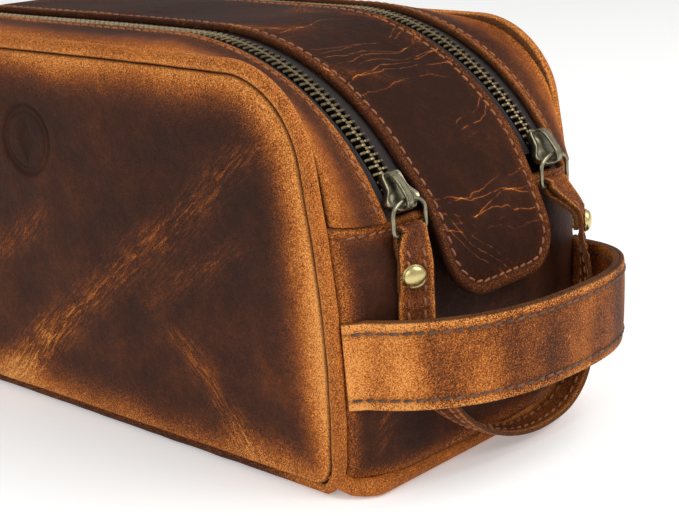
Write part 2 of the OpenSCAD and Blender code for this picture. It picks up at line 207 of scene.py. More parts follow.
class Paint:
    """A material's node tree, built a node at a time. Positions are millimetres at rest."""

    def __init__(self, name):
        self.material = bpy.data.materials.new(name)
        self.material.use_nodes = True
        self.tree = self.material.node_tree
        self.surface = self.tree.nodes["Principled BSDF"]

    def node(self, kind, settings=None, **inputs):
        """A new shader node, with its settings and its inputs."""
        made = self.tree.nodes.new("ShaderNode" + kind)
        for key, value in (settings or {}).items():
            setattr(made, key, value)
        for key, value in inputs.items():
            self.put(made.inputs[key], value)
        return made

    def put(self, socket, value):
        """Feeds an input from another node or with a plain value."""
        if isinstance(value, bpy.types.NodeSocket):
            self.tree.links.new(value, socket)
        else:
            socket.default_value = value

    def attribute(self, name, output="Fac"):
        """A mark that the mesh carries at each of its points."""
        return self.node("Attribute", {"attribute_name": name}).outputs[output]

    def place(self, stretch=(1, 1, 1), turn=(0, 0, 0), name="rest"):
        """Positions at rest, or of the flat leather, stretched and turned."""
        mapping = self.node("Mapping", Vector=self.attribute(name, "Vector"))
        mapping.inputs["Scale"].default_value = stretch
        mapping.inputs["Rotation"].default_value = turn
        return mapping.outputs["Vector"]

    def fibres(self, turn, along, across):
        """Flat positions stretched so that noise runs in streaks at an angle."""
        turned = self.place((1, 1, 1), (0, 0, math.radians(turn)), "flat")
        mapping = self.node("Mapping", Vector=turned)
        mapping.inputs["Scale"].default_value = (along, across, 1)
        return mapping.outputs["Vector"]

    def bundle(self, where, run, across, turn, spacing, half, reach):
        """Fine creases side by side about a place of the flat leather, at an angle."""
        mapping = self.node("Mapping", {"vector_type": "TEXTURE"},
                            Vector=self.attribute("flat", "Vector"))
        mapping.inputs["Location"].default_value = (run, across, 0)
        mapping.inputs["Rotation"].default_value = (0, 0, math.radians(turn))
        local = self.node("SeparateXYZ", Vector=mapping.outputs["Vector"])
        wander = self.sway(self.noise(where, 0.032, 1), 18)
        waver = self.sway(self.noise(where, 0.16, 2), 2.4)
        drift = self.add(local.outputs["Y"], wander, waver)
        saw = self.math("PINGPONG", drift, spacing / 2)
        core = self.band(saw, 0.03, 0.24, 1.0, 0.0)
        halo = self.band(saw, 0.1, 0.9, 0.22, 0.0)
        beside = self.math("ABSOLUTE", self.add(local.outputs["Y"], self.times(wander, 0.5)))
        ahead = self.math("ABSOLUTE", local.outputs["X"])
        window = self.times(self.band(beside, half * 0.5, half, 1.0, 0.0),
                            self.band(ahead, reach * 0.7, reach, 1.0, 0.0))
        broken = self.band(self.noise(where, 0.11, 3, 0.7), 0.38, 0.54)
        return self.times(self.add(core, halo), window, broken)

    def noise(self, where, scale, detail=3, rough=0.55, bend=0):
        made = self.node("TexNoise", Vector=where, Scale=scale, Detail=detail,
                         Roughness=rough, Distortion=bend)
        return made.outputs["Fac"]

    def cells(self, where, scale, feature="F1"):
        made = self.node("TexVoronoi", {"feature": feature}, Vector=where, Scale=scale)
        return made.outputs["Distance"]

    def math(self, operation, a, b=0.0):
        made = self.tree.nodes.new("ShaderNodeMath")
        made.operation = operation
        self.put(made.inputs[0], a)
        self.put(made.inputs[1], b)
        return made.outputs[0]

    def add(self, *values):
        total = values[0]
        for value in values[1:]:
            total = self.math("ADD", total, value)
        return total

    def times(self, *values):
        total = values[0]
        for value in values[1:]:
            total = self.math("MULTIPLY", total, value)
        return total

    def sway(self, value, amount):
        """A noise about its middle, times an amount."""
        return self.times(self.add(value, -0.5), amount)

    def band(self, value, low, high, to_low=0.0, to_high=1.0):
        """A smooth step as value goes from low to high."""
        made = self.node("MapRange", {"interpolation_type": "SMOOTHSTEP"}, Value=value)
        for key, number in (("From Min", low), ("From Max", high),
                            ("To Min", to_low), ("To Max", to_high)):
            made.inputs[key].default_value = number
        return made.outputs["Result"]

    def mix(self, share, a, b):
        made = self.node("Mix", {"data_type": "RGBA"})
        self.put(made.inputs[0], share)
        self.put(made.inputs[6], a)
        self.put(made.inputs[7], b)
        return made.outputs[2]

    def ramp(self, value, *stops):
        """A colour for each value, from stops of a position and a colour."""
        made = self.node("ValToRGB", Fac=value)
        elements = made.color_ramp.elements
        while len(elements) < len(stops):
            elements.new(0.5)
        for element, (position, colour) in zip(elements, stops):
            element.position = position
            element.color = (*colour, 1)
        return made.outputs["Color"]

    def bump(self, height, depth, under=None):
        """Raises the surface by height times depth, in millimetres."""
        made = self.node("Bump", Height=height, Strength=1.0, Distance=depth * MM)
        if under is not None:
            self.put(made.inputs["Normal"], under)
        return made.outputs["Normal"]

    def finish(self, **inputs):
        """The finished material, with these inputs of its surface."""
        for key, value in inputs.items():
            self.put(self.surface.inputs[key.replace("_", " ")], value)
        return self.material


def make_leather(name, wear, reach, base=0.0, creases=(), gloss=0.50, speckle=2.2,
                 shine=0.12, grain_floor=0.16, seam=1.0):
    """Waxed pull-up leather: dark where it lies flat, tan where it is bent, pulled or rubbed.
    Wear is how tan its rims are and reach how far in that goes, in millimetres. Base is how tan
    the rest is, creases are bundles of fine lines, and seam is how wide its border is dark."""
    paint = Paint(name)
    where = paint.place()
    broad = paint.noise(where, 0.020, 3)
    patch = paint.noise(where, 0.075, 4, 0.62)
    mottle = paint.noise(where, 0.45, 3, 0.6)
    speck = paint.noise(where, 2.3, 3, 0.7)
    fine = paint.noise(where, 4.2, 2, 0.6)
    grain = paint.cells(where, 1.35)
    streaks = [paint.noise(paint.fibres(turn, 0.13, 1.0), 1.0, 4, 0.7, 0.5) for turn in (-42, 46)]

    # Rubbed rims and pulled folds
    depth_in = paint.times(paint.attribute("edge"), 1.0 / reach)
    swing = paint.times(paint.add(patch, broad, -1.0), 0.75)
    rim = paint.band(paint.add(depth_in, swing), -0.15, 1.15, 1.0, 0.0)
    rim = paint.math("POWER", rim, 1.5)
    folds = [paint.attribute("rising"), paint.attribute("falling")]
    lines = paint.add(*[paint.times(fold, paint.band(streak, 0.43, 0.62))
                        for fold, streak in zip(folds, streaks)])
    glow = paint.times(paint.add(*folds), 0.10)

    # Fine cracks: the creases, and crackle near the border of a creased piece
    veins = 0.0
    for crease in creases:
        veins = paint.add(veins, paint.times(paint.bundle(where, *crease), 0.44))
    if creases:
        crackle = paint.band(paint.noise(where, 0.62, 5, 0.75), 0.53, 0.63)
        beside = paint.times(paint.band(paint.attribute("edge"), 3.0, 11.0, 1.0, 0.0),
                             paint.band(broad, 0.44, 0.56))
        veins = paint.add(veins, paint.times(crackle, beside, 0.42))

    # How tan each point is, from 0 (dark) to 1 (pale)
    grit = paint.times(paint.add(paint.sway(speck, speckle), paint.sway(fine, 2.0)),
                       paint.add(grain_floor, paint.times(rim, 0.75), paint.times(glow, 3.5)))
    pull = paint.add(base, paint.times(rim, wear), paint.times(lines, 0.42), glow, veins, grit,
                     paint.sway(patch, 0.50), paint.sway(mottle, 0.22), paint.attribute("tone"))
    colour = paint.ramp(pull, (0.0, (0.026, 0.0085, 0.0042)), (0.20, (0.060, 0.0180, 0.0075)),
                        (0.38, (0.140, 0.038, 0.0100)), (0.58, (0.320, 0.088, 0.0150)),
                        (0.80, (0.640, 0.205, 0.0330)), (1.0, (0.840, 0.370, 0.1000)))

    # Dark pores, stitch grooves and cut edges
    pores = paint.times(paint.band(grain, 0.08, 0.22, 0.55, 0.0), paint.band(pull, 0.3, 0.7))
    colour = paint.mix(pores, colour, (0.075, 0.021, 0.007, 1))
    groove = paint.band(paint.attribute("groove"), 0.1, 1.0)
    colour = paint.mix(paint.times(groove, 0.5), colour, (0.040, 0.013, 0.007, 1))
    border = paint.band(paint.attribute("edge"), 0.0, seam, 0.85, 0.0)
    colour = paint.mix(border, colour, (0.030, 0.010, 0.006, 1))

    # Gloss and relief
    rough = paint.add(gloss, paint.times(rim, 0.08), paint.times(fine, 0.12),
                      paint.times(patch, 0.14))
    bent = paint.bump(paint.add(paint.times(grain, 0.55), paint.times(speck, 0.8)), 0.12)
    bent = paint.bump(lines, 0.20, bent)
    bent = paint.bump(veins, 0.10, bent)
    bent = paint.bump(patch, 1.0, bent)
    return paint.finish(Base_Color=colour, Roughness=rough, Normal=bent, Specular_IOR_Level=shine)


def make_cloth(name):
    """Plain woven lining."""
    paint = Paint(name)
    where = paint.place()
    weft = paint.math("SINE", paint.times(paint.noise(paint.place((1, 14, 14)), 0.3, 1), 40))
    warp = paint.math("SINE", paint.times(paint.noise(paint.place((14, 14, 1)), 0.3, 1), 40))
    weave = paint.add(paint.times(weft, 0.5), paint.times(warp, 0.5))
    tint = paint.add(paint.times(weave, 0.12), paint.noise(where, 0.05, 3))
    colour = paint.ramp(tint, (0.35, (0.075, 0.054, 0.036)), (0.7, (0.155, 0.115, 0.078)))
    bent = paint.bump(weave, 0.06)
    return paint.finish(Base_Color=colour, Roughness=0.85, Normal=bent, Sheen_Weight=0.15)


def make_tape(name):
    """Zip tape: a dark twill."""
    paint = Paint(name)
    where = paint.place((1, 1, 1), (0, 0, math.radians(35)), "flat")
    rib = paint.node("TexWave", {"bands_direction": "X"}, Vector=where, Scale=0.42,
                     Distortion=0.6, Detail=1.0)
    twill = rib.outputs["Fac"]
    fuzz = paint.noise(paint.place(), 2.2, 3)
    tint = paint.add(paint.times(twill, 0.55), paint.times(fuzz, 0.5))
    colour = paint.ramp(tint, (0.25, (0.006, 0.004, 0.004)), (0.85, (0.028, 0.016, 0.015)))
    bent = paint.bump(tint, 0.12)
    return paint.finish(Base_Color=colour, Roughness=0.85, Normal=bent, Sheen_Weight=0.05)


def make_metal(name, dark, light, rough, spots=0.5):
    """Antique plated metal: dark in its hollows, and paler where its edge mark is high, which on
    the zip teeth and slider bridges is a painted highlight on their top faces as well as rub wear.
    """
    paint = Paint(name)
    where = paint.place()
    cloud = paint.noise(where, 0.35, 5, 0.65)
    spot = paint.noise(where, 1.6, 4, 0.7)
    scratch = paint.noise(paint.place((0.25, 5, 1.2), (0.3, 0.2, 0.5)), 0.8, 3)
    # Painted highlight, partly rub wear: paler where the edge mark is high
    high = paint.band(paint.attribute("edge"), 0.0, 1.0)
    tarnish_and_highlight = paint.add(paint.times(cloud, 0.6), paint.times(spot, spots), paint.times(high, -0.30))
    colour = paint.ramp(tarnish_and_highlight, (0.30, light), (0.72, dark))
    roughness = paint.add(rough, paint.times(tarnish_and_highlight, 0.22), paint.times(scratch, 0.10))
    bent = paint.bump(paint.add(spot, paint.times(scratch, 0.6)), 0.035)
    return paint.finish(Base_Color=colour, Roughness=roughness, Normal=bent, Metallic=1.0)


def make_thread(name, dark, light):
    """Twisted sewing thread."""
    paint = Paint(name)
    where = paint.place()
    soil = paint.noise(where, 0.25, 3)
    fibre = paint.noise(paint.place((1, 1, 1), (0.5, 0.4, 0.6)), 3.2, 2)
    colour = paint.ramp(paint.add(paint.times(soil, 0.7), paint.times(fibre, 0.3)),
                        (0.35, dark), (0.65, light))
    bent = paint.bump(fibre, 0.10)
    return paint.finish(Base_Color=colour, Roughness=0.62, Normal=bent)


def make_floor_paint():
    """Plain pale sweep."""
    paint = Paint("pale_floor")
    spots = paint.node("TexNoise", Scale=3.0, Detail=2.0)
    colour = paint.ramp(spots.outputs["Fac"], (0.3, (0.93, 0.93, 0.93)), (0.7, (0.95, 0.95, 0.95)))
    return paint.finish(Base_Color=colour, Roughness=0.6, Emission_Color=(1, 1, 1, 1),
                        Emission_Strength=0.26)


panel_leather = make_leather("panel_leather", 0.68, 17, 0.15, seam=1.2, grain_floor=0.24)
gusset_leather = make_leather("gusset_leather", 0.50, 9, 0.16, seam=1.7, grain_floor=0.2)
# Creases over the flap: run and place across of their middle, turn, spacing, and half their
# width and length
FLAP_CREASES = [(99, 0, 90, 5.4, 17, 30), (95, 3, 97, 6.6, 14, 26), (155, 0, 84, 4.4, 8, 28),
                (153, 3, 97, 5.2, 7, 24), (165, -9, 42, 3.0, 6, 16), (70, 3, 93, 4.0, 4, 28),
                (126, 14, 118, 3.0, 5, 12)]
flap_leather = make_leather("flap_leather", 0.34, 8, 0.05, FLAP_CREASES, 0.46, shine=0.06,
                            seam=2.6, grain_floor=0.3)
welt_leather = make_leather("welt_leather", 0.26, 8, 0.39, grain_floor=0.42, seam=1.5)
strap_leather = make_leather("strap_leather", 0.42, 3, 0.28, grain_floor=0.6, seam=0.7)
handle_leather = make_leather("handle_leather", 0.26, 5, 0.45, speckle=2.8, grain_floor=0.62,
                              seam=0.7)
cloth = make_cloth("lining_cloth")
twill = make_tape("zip_twill")
tooth_brass = make_metal("tooth_brass", (0.018, 0.013, 0.009), (0.30, 0.23, 0.13), 0.26)
slider_brass = make_metal("slider_brass", (0.040, 0.034, 0.021), (0.33, 0.30, 0.20), 0.20)
rivet_brass = make_metal("rivet_brass", (0.16, 0.105, 0.035), (0.66, 0.54, 0.24), 0.18, 0.35)
pale_thread = make_thread("pale_thread", (0.14, 0.045, 0.016), (0.42, 0.155, 0.055))
dark_thread = make_thread("dark_thread", (0.050, 0.026, 0.018), (0.20, 0.095, 0.055))


# ---------------------------------------------------------------- mesh helpers

def stack(*parts):
    """Arrays of coordinates as one array of points."""
    return np.stack(np.broadcast_arrays(*parts), axis=-1)


def unit(vectors):
    """The same directions, one long."""
    return vectors / np.linalg.norm(vectors, axis=-1, keepdims=True)


def run_along(path):
    """Distance from the start of a path to each of its points."""
    return np.concatenate([[0], np.cumsum(np.linalg.norm(np.diff(path, axis=0), axis=1))])


def ridge(value, middle, width):
    """1 where value is at the middle, falling smoothly to 0 on both sides."""
    return np.exp(-((value - middle) / width) ** 2)


def half_chord(radius, height):
    """Half the width of a circle at a height over its middle."""
    return np.sqrt(np.maximum(0, radius ** 2 - height ** 2))


def ease(value):
    """A smooth step from 0 to 1."""
    return value * value * (3 - 2 * value)


def ripple(points, wavelength, seed):
    """Smooth noise from -1 to 1 at each point, out of a few crossing waves."""
    rng = np.random.default_rng(seed)
    total = np.zeros(points.shape[:-1])
    for wave in range(7):
        direction = unit(rng.normal(size=3))
        length = wavelength * rng.uniform(0.7, 1.6)
        total += np.sin(points @ direction * 2 * math.pi / length + rng.uniform(0, 6.28))
    return total / 3.5


def soft(points, amount=0.55):
    """The bag's slight unevenness: the same for every piece that meets at a seam."""
    shift = np.stack([ripple(points, 95, seed) for seed in (3, 5, 8)], axis=-1)
    low = np.clip(points[..., 2:] / 20, 0, 1)
    return points + shift * amount * np.array([0.8, 1.0, 0.8]) * low


def make_piece(name, points, faces, material, marks=None, smooth=True):
    """A mesh object from points in millimetres. Its marks are values at each point that the
    materials read: flat is the place on the flat leather, edge the distance from its rim (on
    metal, how pale it is, in places a painted highlight), groove, rising and falling how pressed
    or creased it is, and tone how much paler, in places painted light and shade."""
    mesh = bpy.data.meshes.new(name)
    mesh.from_pydata((points * MM).tolist(), [], faces)
    mesh.polygons.foreach_set("use_smooth", [smooth] * len(mesh.polygons))
    rest = mesh.attributes.new("rest", "FLOAT_VECTOR", "POINT")
    rest.data.foreach_set("vector", points.astype(np.float32).ravel())
    for key, values in (marks or {}).items():
        kind, field = ("FLOAT_VECTOR", "vector") if key == "flat" else ("FLOAT", "value")
        made = mesh.attributes.new(key, kind, "POINT")
        made.data.foreach_set(field, np.asarray(values, np.float32).ravel())
    mesh.materials.append(material)
    mesh.validate()
    piece = bpy.data.objects.new(name, mesh)
    bpy.context.scene.collection.objects.link(piece)
    return piece


def fit(piece, body, slot, *nodes):
    """Puts a piece on its body, and says which parts it stands for. Its slot is not used."""
    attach(piece, body)
    if nodes:
        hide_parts(*nodes)


def normals(grid):
    """Unit normals of a grid of points."""
    along = np.gradient(grid, axis=0)
    across = np.gradient(grid, axis=1)
    found = np.cross(along, across)
    return found / np.maximum(np.linalg.norm(found, axis=-1, keepdims=True), 1e-9)


def places(low, high, step, fine=()):
    """Positions from low to high, closer together at both ends and at the fine places."""
    count = max(2, round((high - low) / step) + 1)
    close = []
    for d in (0.25, 0.6, 1.1, 1.8):
        close += [low + d, high - d]
    for middle in fine:
        close += [middle + d for d in (-1.0, -0.45, 0, 0.45, 1.0)]
    wanted = sorted(list(np.linspace(low, high, count)[1:-1]) + close)
    kept = [low]
    for value in wanted:
        if value - kept[-1] > 0.2 and high - value > 0.2:
            kept.append(value)
    return np.array(kept + [high])


def outward(grid):
    """Unit normals of a grid that point away from the middle of the bag."""
    found = normals(grid)
    return found * np.sign(np.sum(found * (grid - np.array([0, 0, 55.0]))))


def slab(name, grid, thick, material, edge=None, groove=None, roll=1.0, marks=None):
    """A closed sheet of leather or cloth. The grid is its outer face, edge is each point's
    distance from the rim, which is rolled over by roll. Groove presses a line in. All are
    millimetres."""
    rows, columns = grid.shape[:2]
    out = outward(grid)
    flip = np.sum(out * normals(grid)) < 0
    edge = np.full((rows, columns), 20.0) if edge is None else edge
    groove = np.zeros((rows, columns)) if groove is None else groove
    near = np.clip(1 - edge / roll, 0, 1)
    drop = roll * (1 - half_chord(1, near)) * 0.9
    outer = grid - out * (drop + groove)[..., None]
    inner = grid - out * thick
    size = rows * columns
    ids = np.arange(size).reshape(rows, columns)
    a, b, c, d = ids[:-1, :-1], ids[:-1, 1:], ids[1:, 1:], ids[1:, :-1]
    quads = np.stack([a, d, c, b], axis=-1).reshape(-1, 4)
    back = np.stack([a, b, c, d], axis=-1).reshape(-1, 4) + size
    if flip:
        quads, back = quads[:, ::-1], back[:, ::-1]
    rim = np.concatenate([ids[0, :], ids[1:, -1], ids[-1, -2::-1], ids[-2:0:-1, 0]])
    after = np.roll(rim, -1)
    wall = np.stack([rim, after, after + size, rim + size], axis=-1)
    if flip:
        wall = wall[:, ::-1]
    faces = np.concatenate([quads, back, wall]).tolist()
    points = np.concatenate([outer.reshape(-1, 3), inner.reshape(-1, 3)])
    blank = np.zeros((rows, columns))
    found = {"rising": blank, "falling": blank, "tone": blank, "flat": grid, **(marks or {})}
    found.update(edge=edge, groove=np.clip(groove / 0.35, 0, 1))
    values = {key: np.concatenate([value.ravel()] * 2) for key, value in found.items()}
    return make_piece(name, points, faces, material, values)


def tube(name, path, ups, section, material, closed=False, marks=None):
    """A section (N points of out and up) swept along a path with an up direction each."""
    path = np.asarray(path, float)
    ups = np.asarray(ups, float)
    if closed:
        ahead = np.roll(path, -1, axis=0) - np.roll(path, 1, axis=0)
    else:
        ahead = np.gradient(path, axis=0)
    ahead = unit(ahead)
    side = unit(np.cross(ahead, ups))
    ups = np.cross(side, ahead)
    section = np.asarray(section, float)
    if section.ndim == 2:
        section = np.repeat(section[None], len(path), axis=0)
    rings = path[:, None] + side[:, None] * section[..., :1] + ups[:, None] * section[..., 1:]
    count, around = rings.shape[:2]
    ids = np.arange(count * around).reshape(count, around)
    if closed:
        ids = np.concatenate([ids, ids[:1]])
    turn = np.roll(ids, -1, axis=1)
    quads = np.stack([ids[:-1], turn[:-1], turn[1:], ids[1:]], axis=-1).reshape(-1, 4).tolist()
    if not closed:
        quads += [ids[0][::-1].tolist(), ids[-1].tolist()]
    values = {key: np.repeat(value, around) if np.size(value) == count else np.ravel(value)
              for key, value in (marks or {}).items()}
    return make_piece(name, rings.reshape(-1, 3), quads, material, values)


def loft_faces(rings, around):
    """Faces of the skin over a row of rings of points, with a cap at each end."""
    faces = []
    for ring in range(rings - 1):
        for k in range(around):
            i, j = ring * around + k, ring * around + (k + 1) % around
            faces.append([i, i + around, j + around, j])
    faces.append(list(range(around)))
    faces.append([(rings - 1) * around + k for k in range(around)][::-1])
    return faces


def rounded_bar(half_wide, half_thick, corner, steps=3, rows=5):
    """Section of a flat band with round corners: its points go once round."""
    points = []
    for cx, cy, start in ((1, 1, 0), (-1, 1, 90), (-1, -1, 180), (1, -1, 270)):
        for i in range(steps + 1):
            a = math.radians(start + 90 * i / steps)
            points.append((cx * (half_wide - corner) + corner * math.cos(a),
                           cy * (half_thick - corner) + corner * math.sin(a)))
        # More points along the flat top and bottom
        if cx == cy:
            points += [(half_wide * x, cy * half_thick) for x in np.linspace(0.8, -0.8, rows) * cy]
    return points


def smooth_path(points, step):
    """Even points along a smooth curve through the given ones (a Catmull-Rom spline)."""
    p = np.asarray(points, float)
    p = np.concatenate([[2 * p[0] - p[1]], p, [2 * p[-1] - p[-2]]])
    t = np.linspace(0, 1, 16, endpoint=False)[:, None]
    parts = []
    for a, b, c, d in zip(p[:-3], p[1:-2], p[2:-1], p[3:]):
        parts.append(0.5 * (2 * b + (c - a) * t + (2 * a - 5 * b + 4 * c - d) * t ** 2
                            + (3 * b - a - 3 * c + d) * t ** 3))
    dense = np.concatenate(parts + [p[-2:-1]])
    run = run_along(dense[:, :3])
    even = np.linspace(0, run[-1], max(3, int(run[-1] / step)))
    return np.stack([np.interp(even, run, dense[:, i]) for i in range(dense.shape[1])], axis=1)


def stitches(name, path, out, material, pitch=3.6, length=2.75, thick=0.42, slant=8, lift=0.05):
    """A row of sewn stitches along a path on a surface with the given outward directions."""
    path = np.asarray(path, float)
    out = np.asarray(out, float)
    run = run_along(path)
    rng = np.random.default_rng(len(path))
    points, faces = [], []
    # Along the stitch, height and thickness: it bows up and dips into the leather at both ends
    bow = [(-0.50, -0.55, 0.35), (-0.36, 0.0, 0.95), (0.0, 0.22, 1.0), (0.36, 0.0, 0.95),
           (0.50, -0.55, 0.35)]
    sides = 6
    skin = [face[:1] + face[:0:-1] for face in loft_faces(len(bow), sides)]

    def at_run(values, place):
        return np.array([np.interp(place, run, values[:, i]) for i in range(3)])

    for middle in np.arange(pitch / 2, run[-1], pitch):
        at = at_run(path, middle)
        up = unit(at_run(out, middle))
        ahead = at_run(path, middle + 0.5) - at
        ahead -= up * (ahead @ up)
        if np.linalg.norm(ahead) < 1e-6:
            continue
        ahead = unit(ahead)
        side = np.cross(up, ahead)
        turn = math.radians(slant + rng.normal() * 2.5)
        ahead, side = (ahead * math.cos(turn) + side * math.sin(turn),
                       side * math.cos(turn) - ahead * math.sin(turn))
        faces += [[len(points) + i for i in face] for face in skin]
        size = length * rng.uniform(0.93, 1.05)
        for along, high, fat in bow:
            centre = at + ahead * along * size + up * (lift + thick * high)
            for k in range(sides):
                a = 2 * math.pi * k / sides
                points.append(centre + (side * math.cos(a) + up * math.sin(a)) * thick * fat)
    return make_piece(name, np.array(points), faces, material)


def near_line(points, line, width):
    """The strength of a crease, falling from its line to 0 at the width beside it. The line's
    points are two coordinates and a strength each."""
    best = np.zeros(points.shape[:-1])
    for a, b in zip(line[:-1], line[1:]):
        a, b = np.array(a, float), np.array(b, float)
        d = b[:2] - a[:2]
        t = np.clip(((points - a[:2]) @ d) / (d @ d), 0, 1)
        gap = np.linalg.norm(points - (a[:2] + t[..., None] * d), axis=-1)
        force = a[2] + (b[2] - a[2]) * t
        best = np.maximum(best, force * np.clip(1 - gap / width, 0, 1) ** 1.3)
    return best


def creased(plan, creases, most):
    """How creased each point is, from 0 to most, by all the lines of a list."""
    return np.clip(sum(near_line(plan, line, width) for line, width in creases), 0, most)


# ---------------------------------------------------------------- surfaces of the bag

def crown_at(run, out=0.0):
    """Crown outline at a run from the middle of the top: x and z."""
    angle = np.maximum(0, np.abs(run) - shoulder_x) / shoulder_radius
    x = np.minimum(np.abs(run), shoulder_x) + (shoulder_radius + out) * np.sin(angle)
    return np.sign(run) * x, shoulder_z + (shoulder_radius + out) * np.cos(angle)


def panel_at(run, out=0.0):
    """Front panel outline at a run from the middle of the top: x and z."""
    a = np.abs(run)
    top = np.clip((a - top_centre_x) / top_corner, 0, math.pi / 2 - side_angle)
    side = np.maximum(0, a - top_centre_x - corner_run) / side_radius
    angle = math.pi / 2 - top
    corner_x = np.minimum(a, top_centre_x) + (top_corner + out) * np.cos(angle)
    corner_z = top_centre_z + (top_corner + out) * np.sin(angle)
    side_x = side_centre + (side_radius + out) * np.cos(side_angle - side)
    side_z = side_foot + (side_radius + out) * np.sin(side_angle - side)
    x = np.where(side > 0, side_x, corner_x)
    z = np.where(side > 0, side_z, corner_z)
    return np.sign(run) * x, z


def rise(y):
    """How far the gusset has risen from the piping to the crown, 0 to 1."""
    past = np.clip((np.abs(y) - gusset_flat) / (gusset_edge - gusset_flat), 0, 1)
    return half_chord(1, past)


def gusset_top(share, y):
    """Grid of points over the top: share runs from -1 to 1 between the end seams."""
    px, pz = panel_at(share * panel_run, gusset_out)
    cx, cz = crown_at(share * crown_run)
    up = rise(y)
    x = px[:, None] * (1 - up) + cx[:, None] * up
    z = pz[:, None] * (1 - up) + cz[:, None] * up
    return stack(x, y, z)


def panel_side(z):
    """Right edge of the front panel at a height."""
    low = half_length - bottom_corner + half_chord(bottom_corner, np.maximum(0, side_foot - z))
    high = side_centre + half_chord(side_radius, np.maximum(0, z - side_foot))
    return np.where(z > side_foot, high, low)


def end_side(z):
    """Reach of the end panel's middle at a height."""
    foot = 2.0 * np.maximum(0, (26 - z) / 26) ** 2
    return half_length + end_bulge + foot - 6 * np.maximum(0, (z - 52) / 26) ** 2


def end_wall(z, y):
    """Grid of points down the right end."""
    up = rise(y)
    x = (panel_side(z) + gusset_out)[:, None] * (1 - up) + end_side(z)[:, None] * up
    return stack(x, y, z[:, None])


def panel_outline(out):
    """Closed outline of the front panel, grown by out: x and z, from the middle of the top."""
    def arc(centre_x, centre_z, radius, first, last, count):
        return [(centre_x + (radius + out) * math.cos(a), centre_z + (radius + out) * math.sin(a))
                for a in np.linspace(first, last, count)]

    half = [(x, panel_top + out) for x in np.linspace(0, top_centre_x, 40)[:-1]]
    half += arc(top_centre_x, top_centre_z, top_corner, math.pi / 2, side_angle, 22)[:-1]
    half += arc(side_centre, side_foot, side_radius, side_angle, 0, 36)[:-1]
    half += arc(half_length - bottom_corner, side_foot, bottom_corner, 0, -math.pi / 2, 12)
    half += [(x, panel_bottom - out) for x in np.linspace(half_length - bottom_corner, 0, 50)[1:]]
    left = [(-x, z) for x, z in half[1:-1]][::-1]
    return np.array(half + left)


def inside_distance(x, z, out):
    """Distance from points to the panel's outline."""
    line = panel_outline(out)
    after = np.roll(line, -1, axis=0)
    best = np.full(x.shape, 1e9)
    for a, b in zip(line, after):
        d = b - a
        t = np.clip(((x - a[0]) * d[0] + (z - a[1]) * d[1]) / (d @ d), 0, 1)
        best = np.minimum(best, np.hypot(x - a[0] - t * d[0], z - a[1] - t * d[1]))
    return best


# ---------------------------------------------------------------- front and back panels

# Creases of the front panel: x, z and strength, then their width
RISING_FRONT = [
    ([(104, 99, 0.5), (88, 88, 0.8), (73, 75, 0.75), (57, 64, 0.9), (37, 49, 0.8),
      (18, 34, 1.0), (2, 24, 1.5), (-14, 12, 1.3), (-24, 5, 1.1)], 11),
    ([(92, 66, 0.5), (74, 58, 0.6), (58, 47, 0.35)], 9),
    ([(-30, 100, 0.4), (-52, 78, 0.7), (-70, 58, 0.6)], 12),
    ([(-78, 96, 0.5), (-98, 70, 0.9), (-112, 44, 0.8)], 10),
    ([(6, 66, 0.6), (-8, 56, 0.75), (-22, 50, 0.5)], 9),
]
FALLING_FRONT = [
    ([(58, 42, 0.2), (70, 34, 0.8), (81, 22, 0.9), (95, 10, 0.8)], 8),
    ([(-36, 46, 0.2), (-58, 30, 0.8), (-76, 12, 0.9)], 10),
    ([(-62, 108, 0.6), (-40, 92, 0.4), (-28, 78, 0.2)], 7),
]
# Middle of the pressed stamp, x and z, and how far from it the panel's points are close together
STAMP = (0.9, 89.7)
STAMP_REACH = 13


def pressed_stamp(x, z):
    """Depth of a plain stamp: two rings round a lozenge."""
    dx, dz = x - STAMP[0], z - STAMP[1]
    r = np.hypot(dx, dz)
    ring = 0.75 * np.exp(-((r - 11.2) / 0.7) ** 2)
    inner = 0.35 * np.exp(-((r - 9.2) / 0.5) ** 2)
    floor = 0.30 / (1 + np.exp((r - 10.6) * 3))
    lozenge = 0.60 / (1 + np.exp((np.abs(dx) / 4.0 + np.abs(dz) / 6.4 - 1) * 9))
    return ring + inner + floor + lozenge


def closer_at_stamp(values, middle, scale=1.0):
    """The same places, but closer together about the stamp."""
    dense = np.arange(middle - STAMP_REACH, middle + STAMP_REACH, 0.5) / scale
    away = np.abs(values - middle / scale) > (STAMP_REACH + 0.2) / scale
    return np.sort(np.concatenate([values[away], dense]))


def panel_grid(inset, step, fine=False):
    """Grid over the panel that follows its outline: x and z. Fine is closer about the stamp."""
    z = places(panel_bottom + inset, panel_top - inset, step)
    reach = half_length - 8
    middle = np.linspace(-1, 1, int(2 * reach / step))
    if fine:
        z = closer_at_stamp(z, STAMP[1])
        middle = closer_at_stamp(middle, STAMP[0], reach)
    top_x = top_centre_x + half_chord(top_corner - inset, np.maximum(0, z - top_centre_z))
    low = np.maximum(0, side_foot - z)
    foot_x = half_length - bottom_corner + half_chord(bottom_corner - inset, low)
    side_x = side_centre + half_chord(side_radius - inset, np.maximum(0, z - side_foot))
    turn_z = side_foot + (side_radius - inset) * math.sin(side_angle)
    half = np.where(z > turn_z, top_x, np.where(z < side_foot, foot_x, side_x))[:, None]
    rim = np.array([0, 0.3, 0.8, 1.5, 2.6, 4.2, 6.5])
    x = np.concatenate([rim[:-1] - half, middle * (half - rim[-1]), half - rim[-2::-1]], axis=1)
    return x, np.broadcast_to(z[:, None], x.shape)


